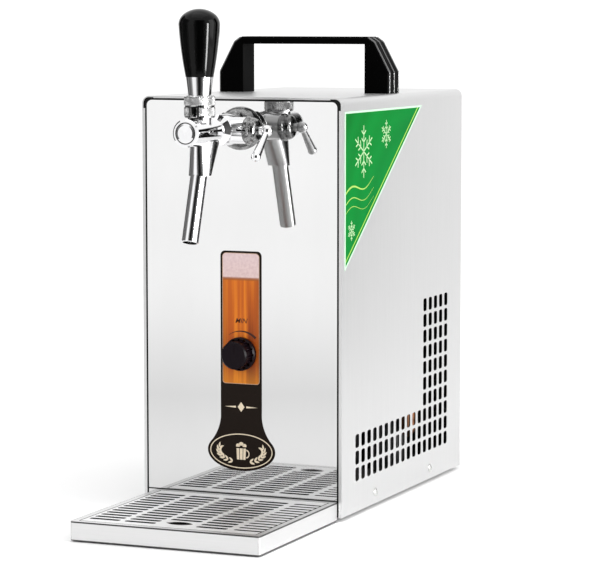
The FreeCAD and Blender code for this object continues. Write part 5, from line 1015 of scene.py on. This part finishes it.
class COOLER_OT_label(bpy.types.Operator):
    """Print the front label: beer window, scale, oval line and ears of barley"""
    bl_idname = "cooler.label"
    bl_label = "Front label"

    def execute(self, context):
        s = settings_of("label")
        window = slab("beer_window", "front", rounded_loop(-s.window_half, s.window_half, s.window_low,
                                                           s.window_high, 2.4 * MM, 3.4 * MM))
        finish(joined("beer_window", window), "case", "label_print", MATERIALS["beer_print"])
        edges = [rounded_loop(inset - s.window_half, s.window_half - inset, s.window_low + inset,
                              s.window_high - inset, 2.6 * MM - inset, 3.4 * MM - inset)
                 for inset in (0, 0.4 * MM)]
        finish(joined("window_line", band("window_line", "front", edges[1], edges[0], thickness=1.5 * INK)),
               "case", "label_print", MATERIALS["window_ink"])

        finish(joined("scale_marks", self.scale(s), self.words()), "case", "label_print",
               MATERIALS["dark_ink"])

        outer = oval_loop(s.oval_height, s.oval_long, s.oval_short)
        inner = oval_loop(s.oval_height, s.oval_long - s.line_width, s.oval_short - s.line_width)
        ring = band("oval_line", "front", inner, outer)
        finish(joined("oval_line", ring, *self.ornament()), "case", "label_print", MATERIALS["cream_ink"])
        finish(self.barley(s), "case", "label_print", MATERIALS["cream_ink"])
        return {"FINISHED"}

    def scale(self, s):
        """The scale round the knob, thin on the left and wide on the right."""
        inner, outer = [], []
        steps = 40
        for step in range(steps + 1):
            share = step / steps
            angle = math.radians(126 - 81 * share)
            half = (0.16 + 0.85 * share ** 1.2) * MM
            for line, radius in ((inner, s.scale_radius - half), (outer, s.scale_radius + half)):
                line.append((radius * math.cos(angle), KNOB_Z + radius * math.sin(angle)))
        return band("scale", "front", inner, outer, thickness=2 * INK, closed=False)

    def words(self):
        """The dial's generic mark for its lowest setting."""
        curve = bpy.data.curves.new("dial_mark", "FONT")
        curve.body = "MIN"
        curve.size = 5.8 * MM
        curve.shear = 0.3
        curve.offset = 0.015 * MM
        curve.align_x = "CENTER"
        curve.extrude = INK / 2
        curve.resolution_u = 4
        item = bpy.data.objects.new("dial_mark", curve)
        bpy.context.scene.collection.objects.link(item)
        bpy.context.view_layer.update()
        graph = bpy.context.evaluated_depsgraph_get()
        mesh = bpy.data.meshes.new_from_object(item.evaluated_get(graph))
        bpy.data.objects.remove(item)
        mesh.transform(Matrix.Translation((0, LABEL_FACE - 1.5 * INK, MARK_HEIGHT * MM))
                       @ Matrix.Rotation(math.pi / 2, 4, "X"))
        return mesh

    def ornament(self):
        """A lozenge between two tapering lines on the black part, and a mug of beer in the oval."""
        height = 88 * MM
        shapes = [slab("lozenge", "front", [(3.0 * MM, height), (0, height + 4.0 * MM),
                                            (-3.0 * MM, height), (0, height - 4.0 * MM)])]
        for side in (-1, 1):
            loop = [(side * 4.6 * MM, height - 0.8 * MM), (side * 14.4 * MM, height),
                    (side * 4.6 * MM, height + 0.8 * MM)]
            shapes.append(slab("taper", "front", loop))
        foot, top = 45.0 * MM, 54.2 * MM
        for low_u, high_u in ((-4.2, -1.9), (-1.3, 1.3), (1.9, 4.2)):
            shapes.append(slab("stave", "front", [(low_u * 0.9 * MM, foot), (high_u * 0.9 * MM, foot),
                                                  (high_u * MM, top), (low_u * MM, top)]))
        for centre_u, centre_v, radius in ((-2.9, 56.3, 1.75), (0.0, 57.2, 2.2), (2.9, 56.3, 1.75)):
            loop = [(centre_u * MM + radius * MM * math.cos(math.radians(angle)),
                     centre_v * MM + radius * MM * math.sin(math.radians(angle)))
                    for angle in range(-30 if radius < 2 else -20, 211 if radius < 2 else 201, 20)]
            shapes.append(slab("froth", "front", loop))
        arcs = [[(4.5 * MM + radius * MM * math.cos(math.radians(angle)) * 0.8,
                  49.8 * MM + radius * MM * math.sin(math.radians(angle)))
                 for angle in range(-90, 91, 15)] for radius in (2.5, 3.5)]
        shapes.append(band("mug_handle", "front", arcs[0], arcs[1], closed=False))
        return shapes

    def barley(self, s):
        """Two ears of barley that curve up and outwards on each side of the mug."""
        profile = [(0, -1.0), (0.26, -0.72), (0.4, -0.2), (0.36, 0.3), (0.2, 0.8), (0, 1.15)]
        grain = lathe("grain", profile, 10)
        grain.transform(Matrix.Diagonal((1, 0.05, 1, 1)))
        shape = add_object("grain", grain)
        places = []
        wide, tall = s.oval_long * 0.72, s.oval_short * 0.66
        for side in (-1, 1):
            for number in range(s.grains):
                share = number / (s.grains - 1)
                angle = math.radians(-62 + 84 * share)
                u = side * wide * math.cos(angle)
                v = s.oval_height + tall * math.sin(angle)
                heading = math.atan2(tall * math.cos(angle), -wide * math.sin(angle))
                for lean in (-0.5, 0.5):
                    tilt = heading + lean
                    turn = math.pi / 2 - tilt if side > 0 else tilt - math.pi / 2
                    shift = 1.15 * MM * (1 if lean > 0 else -1)
                    point = place_on("front", u - side * shift * math.sin(heading),
                                     v + shift * math.cos(heading), 0)
                    places.append((point, Euler((0, turn, 0))))
        return scatter("barley", shape, places, MATERIALS["cream_ink"], size=2.15 * MM, variation=0.08)


class COOLER_OT_sticker(bpy.types.Operator):
    """Print plain snow crystals and waves on the side sticker"""
    bl_idname = "cooler.sticker"
    bl_label = "Side sticker"

    def execute(self, context):
        arms = []
        for across, down, size in ((40, 33, 1.0), (90, 21, 0.55), (14, 95, 0.38)):
            for number in range(6):
                turn = number * math.pi / 3 + math.pi / 6
                strokes = [(0, 0, 21, 0)]
                for reach, branch in ((7.5, 5.6), (13.5, 5.6)):
                    for side in (-1, 1):
                        strokes.append((reach, 0, reach + branch * 0.6, side * branch * 0.8))
                for ends in strokes:
                    arms.append(self.stroke(STICKER_LOW.y + across * MM, STICKER_HIGH.z - down * MM, turn,
                                            *(value * size for value in ends), half=0.3 + 0.3 * size))
        finish(joined("snow_crystals", *arms), "case", "sticker_print", MATERIALS["pale_ink"])
        waves = [self.wave(start, width) for start, width in ((-66, 0.9), (-75, 0.5), (-82, 0.3))]
        finish(joined("sticker_waves", *waves), "case", "sticker_print", MATERIALS["lime_ink"])
        return {"FINISHED"}

    def wave(self, drop, width):
        """One thin rolling line from the sticker's front edge to its slanted edge."""
        length = (STICKER_HIGH.y - STICKER_LOW.y) / MM
        depth = (STICKER_HIGH.z - STICKER_LOW.z) / MM
        lower, upper = [], []
        for step in range(49):
            u = 2.0 + 1.25 * step
            v = drop + 3.6 * math.sin(u / 9.0) + 0.16 * u
            if u / length - v / depth > 0.97 - 2.2 / length:
                break
            half = width * (1 - 0.75 * step / 48)
            lower.append((STICKER_LOW.y + u * MM, STICKER_HIGH.z + (v - half) * MM))
            upper.append((STICKER_LOW.y + u * MM, STICKER_HIGH.z + (v + half) * MM))
        return band("wave", "side", lower, upper, closed=False)

    def stroke(self, centre_y, centre_z, turn, start_u, start_v, end_u, end_v, half):
        """One straight bar of the crystal, turned about its middle."""
        along = Vector((end_u - start_u, end_v - start_v)).normalized()
        across = Vector((-along.y, along.x)) * half
        corners = ((start_u, start_v, -1), (end_u, end_v, -1), (end_u, end_v, 1), (start_u, start_v, 1))
        loop = []
        for u, v, sign in corners:
            u, v = u + sign * across.x, v + sign * across.y
            loop.append((centre_y + (u * math.cos(turn) - v * math.sin(turn)) * MM,
                         centre_z + (u * math.sin(turn) + v * math.cos(turn)) * MM))
        return slab("stroke", "side", loop)


class COOLER_OT_edges(bpy.types.Operator):
    """Dark flat rings of painted shade round the grille's slots and finger hole"""
    bl_idname = "cooler.edges"
    bl_label = "Grille edges"

    def execute(self, context):
        width = settings_of("edges").width
        work = bmesh.new()
        work.from_mesh(NODES["tray_grille"].data)
        bmesh.ops.remove_doubles(work, verts=work.verts, dist=1e-6)
        beside = {}
        for edge in work.edges:
            tops = [face.normal.z > 0.9 for face in edge.link_faces]
            if len(tops) == 2 and tops[0] != tops[1] and edge.verts[0].co.z > GRILLE_HIGH.z - 0.01 * MM:
                for vertex in edge.verts:
                    beside.setdefault(vertex, []).append(edge.other_vert(vertex))
        rims = []
        while beside:
            start, after = beside.popitem()
            loop, waiting = [start], list(after)
            while waiting:
                vertex = waiting.pop()
                if vertex in beside:
                    loop.append(vertex)
                    waiting += beside.pop(vertex)
            rims += self.rim([vertex.co.copy() for vertex in loop], width)
        work.free()
        if not rims:
            raise RuntimeError("the grille has no slots")
        finish(joined("grille_edges", *rims), "grille", "tray_steel", MATERIALS["rolled_edge"])
        return {"FINISHED"}

    def rim(self, points, width):
        """One flat ring outside an opening's outline; none for the grille's own outline."""
        low = Vector([min(point[axis] for point in points) for axis in range(2)])
        high = Vector([max(point[axis] for point in points) for axis in range(2)])
        half, middle = (high - low) / 2, (high + low) / 2
        if half.x > 30 * MM:
            return []
        points.sort(key=lambda point: math.atan2((point.y - middle.y) / half.y,
                                                 (point.x - middle.x) / half.x))
        inner = [(point.x, point.y) for point in points]
        outer = [(middle.x + (x - middle.x) * (1 + width / half.x),
                  middle.y + (y - middle.y) * (1 + width / half.y)) for x, y in inner]
        return [band("rim", "grille", inner, outer, thickness=INK / 2)]


class COOLER_OT_filter(bpy.types.Operator):
    """A black dust mat that lies inside the rear panel, behind its air slots"""
    bl_idname = "cooler.filter"
    bl_label = "Dust filter"

    def execute(self, context):
        s = settings_of("filter")
        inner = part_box("rear_panel")[0].y - 0.1 * MM
        corners = [(x, y, z) for y in (inner - s.thickness, inner)
                   for x, z in ((-s.half, s.low), (s.half, s.low), (s.half, s.high), (-s.half, s.high))]
        item = joined("dust_filter", mesh_of("dust_filter", corners, plate_faces(4)))
        finish(item, "case", "black_matte", MATERIALS["filter_mat"])
        return {"FINISHED"}


class COOLER_OT_screws(bpy.types.Operator):
    """Pan-head screws with cross recesses, on the cover's sides and the rear panel"""
    bl_idname = "cooler.screws"
    bl_label = "Screws"

    def execute(self, context):
        for node, name in (("cover_screws", "side_screw_set"), ("rear_screws", "rear_screw_set")):
            places = [(point, turn_to(outward)) for point, outward in self.seats(node)]
            item = scatter(name, self.shape(), places, MATERIALS["bare_steel"])
            finish(item, "case", "bare_steel", MATERIALS["bare_steel"], node)
        return {"FINISHED"}

    def seats(self, node):
        """Where each screw of a CAD node seats, and which way its head points."""
        work = bmesh.new()
        work.from_mesh(NODES[node].data)
        bmesh.ops.remove_doubles(work, verts=work.verts, dist=1e-6)
        left, seats = set(work.verts), []
        while left:
            loose = [left.pop()]
            island = list(loose)
            while loose:
                for edge in loose.pop().link_edges:
                    for vertex in edge.verts:
                        if vertex in left:
                            left.discard(vertex)
                            loose.append(vertex)
                            island.append(vertex)
            low = Vector([min(v.co[axis] for v in island) for axis in range(3)])
            high = Vector([max(v.co[axis] for v in island) for axis in range(3)])
            axis = max(range(3), key=lambda number: high[number] - low[number])
            middle = (low + high) / 2
            outward = Vector((0, 0, 0))
            outward[axis] = 1 if middle[axis] > 0 else -1
            middle[axis] = (high[axis] if outward[axis] > 0 else low[axis]) - outward[axis] * 1.6 * MM
            seats.append((middle, outward))
        work.free()
        if not seats:
            raise RuntimeError(f"{node} has no screws")
        return seats

    def shape(self):
        """One screw about its seat: domed head up, shank down, a cross cut into the head."""
        s = settings_of("screws")
        radius, height = s.head_radius, s.head_height
        shank = [(0, -7 * MM), (1.6 * MM, -7 * MM), (2.0 * MM, -6.5 * MM), (2.0 * MM, 0)]
        head = [(radius * 0.96, 0), (radius, 0.25 * MM), (radius * 0.97, 0.45 * height),
                (radius * 0.86, 0.72 * height), (radius * 0.66, 0.9 * height),
                (radius * 0.35, 0.985 * height), (0, height)]
        screw = add_object("screw", lathe("screw", shank + head, 40))
        half, reach = s.recess, radius * 0.62
        loop = [(half, half), (half, reach), (-half, reach), (-half, half), (-reach, half), (-reach, -half),
                (-half, -half), (-half, -reach), (half, -reach), (half, -half), (reach, -half), (reach, half)]
        floor_z, top_z = 0.35 * height, 1.4 * height
        points = [(x * 0.7, y * 0.7, floor_z) for x, y in loop] + [(x, y, top_z) for x, y in loop]
        cross = add_object("cross", mesh_of("cross", points, plate_faces(len(loop))))
        modifier = screw.modifiers.new("recess", "BOOLEAN")
        modifier.operation = "DIFFERENCE"
        modifier.solver = "EXACT"
        modifier.object = cross
        plain_mesh(screw, "screw")
        bpy.data.objects.remove(cross)
        return screw


class COOLER_OT_ribs(bpy.types.Operator):
    """Moulded ribs that follow the handle's outline over its two ends"""
    bl_idname = "cooler.ribs"
    bl_label = "Handle ribs"

    def execute(self, context):
        s = settings_of("ribs")
        low, high = HANDLE_LOW, HANDLE_HIGH
        middle = (low.y + high.y) / 2
        margin = 3.6 * MM
        span = high.y - low.y - margin
        outline = [(high.x, low.z + 0.3 * MM), (high.x, low.z + HANDLE_LEG * MM)]
        outline += [(outwards * MM, low.z + above * MM) for outwards, above in HANDLE_BENDS]
        mesh = bpy.data.meshes.new("rib_paths")
        points, edges = [], []
        for side in (-1, 1):
            start = len(points)
            points += [(side * (x - 0.25 * MM), middle - span / 2, z) for x, z in outline]
            edges += [(start + i, start + i + 1) for i in range(len(outline) - 1)]
        mesh.from_pydata(points, edges, [])
        item = add_object("handle_ribs", mesh)
        tree = tree_with("handle_ribs", ("Rib Radius", "NodeSocketFloat"), ("Ribs", "NodeSocketInt"),
                         ("Spacing", "NodeSocketFloat"))
        given = tree.nodes.new("NodeGroupInput")
        path = tree_node(tree, "GeometryNodeMeshToCurve", {"Mesh": given.outputs["Geometry"]})
        soft = tree_node(tree, "GeometryNodeFilletCurve", {"Curve": path.outputs[0], "Radius": 4 * MM},
                         mode="POLY")
        soft.inputs["Count"].default_value = 5
        ring = tree_node(tree, "GeometryNodeCurvePrimitiveCircle", {"Resolution": 8,
                                                                   "Radius": given.outputs["Rib Radius"]})
        tube = tree_node(tree, "GeometryNodeCurveToMesh", {"Curve": soft.outputs[0],
                                                          "Profile Curve": ring.outputs[0],
                                                          "Fill Caps": True})
        step = tree_node(tree, "ShaderNodeCombineXYZ", {"Y": given.outputs["Spacing"]})
        line = tree_node(tree, "GeometryNodeMeshLine", {"Count": given.outputs["Ribs"],
                                                        "Offset": step.outputs[0]}, mode="OFFSET")
        placed = tree_node(tree, "GeometryNodeInstanceOnPoints", {"Points": line.outputs[0],
                                                                  "Instance": tube.outputs[0]})
        # The ribs' lighter grey is a painted highlight
        end_tree(tree, placed.outputs[0], MATERIALS["rail_black"])
        run_tree(item, tree, {"Rib Radius": s.radius, "Ribs": s.count, "Spacing": span / (s.count - 1)},
                 "handle_ribs")
        finish(item, "case", "black_handle", MATERIALS["rail_black"])
        return {"FINISHED"}


class COOLER_OT_knurls(bpy.types.Operator):
    """Knurled teeth round the bonnet nut and the lever's collar"""
    bl_idname = "cooler.knurls"
    bl_label = "Knurling"

    def execute(self, context):
        for node, body, low, high in KNURLED:
            corner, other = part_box(node)
            radius = (other.x - corner.x) / 2
            item = self.ring(node + "_knurl", radius, low * MM, high * MM, node == "bonnet_nut")
            finish(item, body, "tap_chrome", MATERIALS["knurled_chrome"])
        return {"FINISHED"}

    def ring(self, name, radius, low, high, slotted):
        """Staggered rows of four-sided teeth on a cylinder about the lever's axis."""
        s = settings_of("knurl")
        pitch = (high - low) / s.rows
        half_across = math.pi * radius / s.around
        tooth = add_object("tooth", mesh_of("tooth", [
            (half_across, 0, -0.05 * MM), (0, pitch, -0.05 * MM), (-half_across, 0, -0.05 * MM),
            (0, -pitch, -0.05 * MM), (0, 0, s.height)], [[0, 1, 4], [1, 2, 4], [2, 3, 4], [3, 0, 4],
                                                         [3, 2, 1, 0]]))
        places = []
        for row in range(2 * s.rows - 1):
            height = low + pitch * (row + 1) / 2
            for number in range(s.around):
                angle = 2 * math.pi * (number + 0.5 * (row % 2)) / s.around
                outward = Vector((math.cos(angle), math.sin(angle), 0))
                if slotted and abs(outward.x) * radius < 4.2 * MM and outward.y < 0:
                    continue
                point = Vector((0, LEVER_Y, height)) + outward * radius
                places.append((point, turn_to(outward)))
        return scatter(name, tooth, places, MATERIALS["knurled_chrome"])


OPERATORS = (COOLER_OT_stage, COOLER_OT_finishes, COOLER_OT_label, COOLER_OT_sticker, COOLER_OT_edges,
             COOLER_OT_filter, COOLER_OT_screws, COOLER_OT_ribs, COOLER_OT_knurls)


class COOLER_PT_panel(bpy.types.Panel):
    """Lists the cooler's operators and their settings"""
    bl_idname = "COOLER_PT_panel"
    bl_label = "Beer cooler"
    bl_space_type = "VIEW_3D"
    bl_region_type = "UI"
    bl_category = "Cooler"

    def draw(self, context):
        for operator in OPERATORS:
            self.layout.operator(operator.bl_idname)
        for kind in GROUPS:
            box = self.layout.box()
            box.label(text=kind.capitalize())
            values = settings_of(kind)
            for name in values.__annotations__:
                box.prop(values, name)


GROUPS = dict(zip(("stage", "finish", "label", "edges", "filter", "screws", "ribs", "knurl"), SETTINGS))
CLASSES = (*SETTINGS, *OPERATORS, COOLER_PT_panel)


def register():
    """Register the classes and hang the settings on the scene."""
    for item in CLASSES:
        bpy.utils.register_class(item)
    for kind, group in GROUPS.items():
        setattr(bpy.types.Scene, "cooler_" + kind, PointerProperty(type=group))


def unregister():
    """Take the settings and the classes away again."""
    for kind in GROUPS:
        delattr(bpy.types.Scene, "cooler_" + kind)
    for item in reversed(CLASSES):
        bpy.utils.unregister_class(item)


def main():
    """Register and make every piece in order."""
    register()
    for operator in OPERATORS:
        category, name = operator.bl_idname.split(".")
        getattr(getattr(bpy.ops, category), name)()


if __name__ == "__main__":
    main()
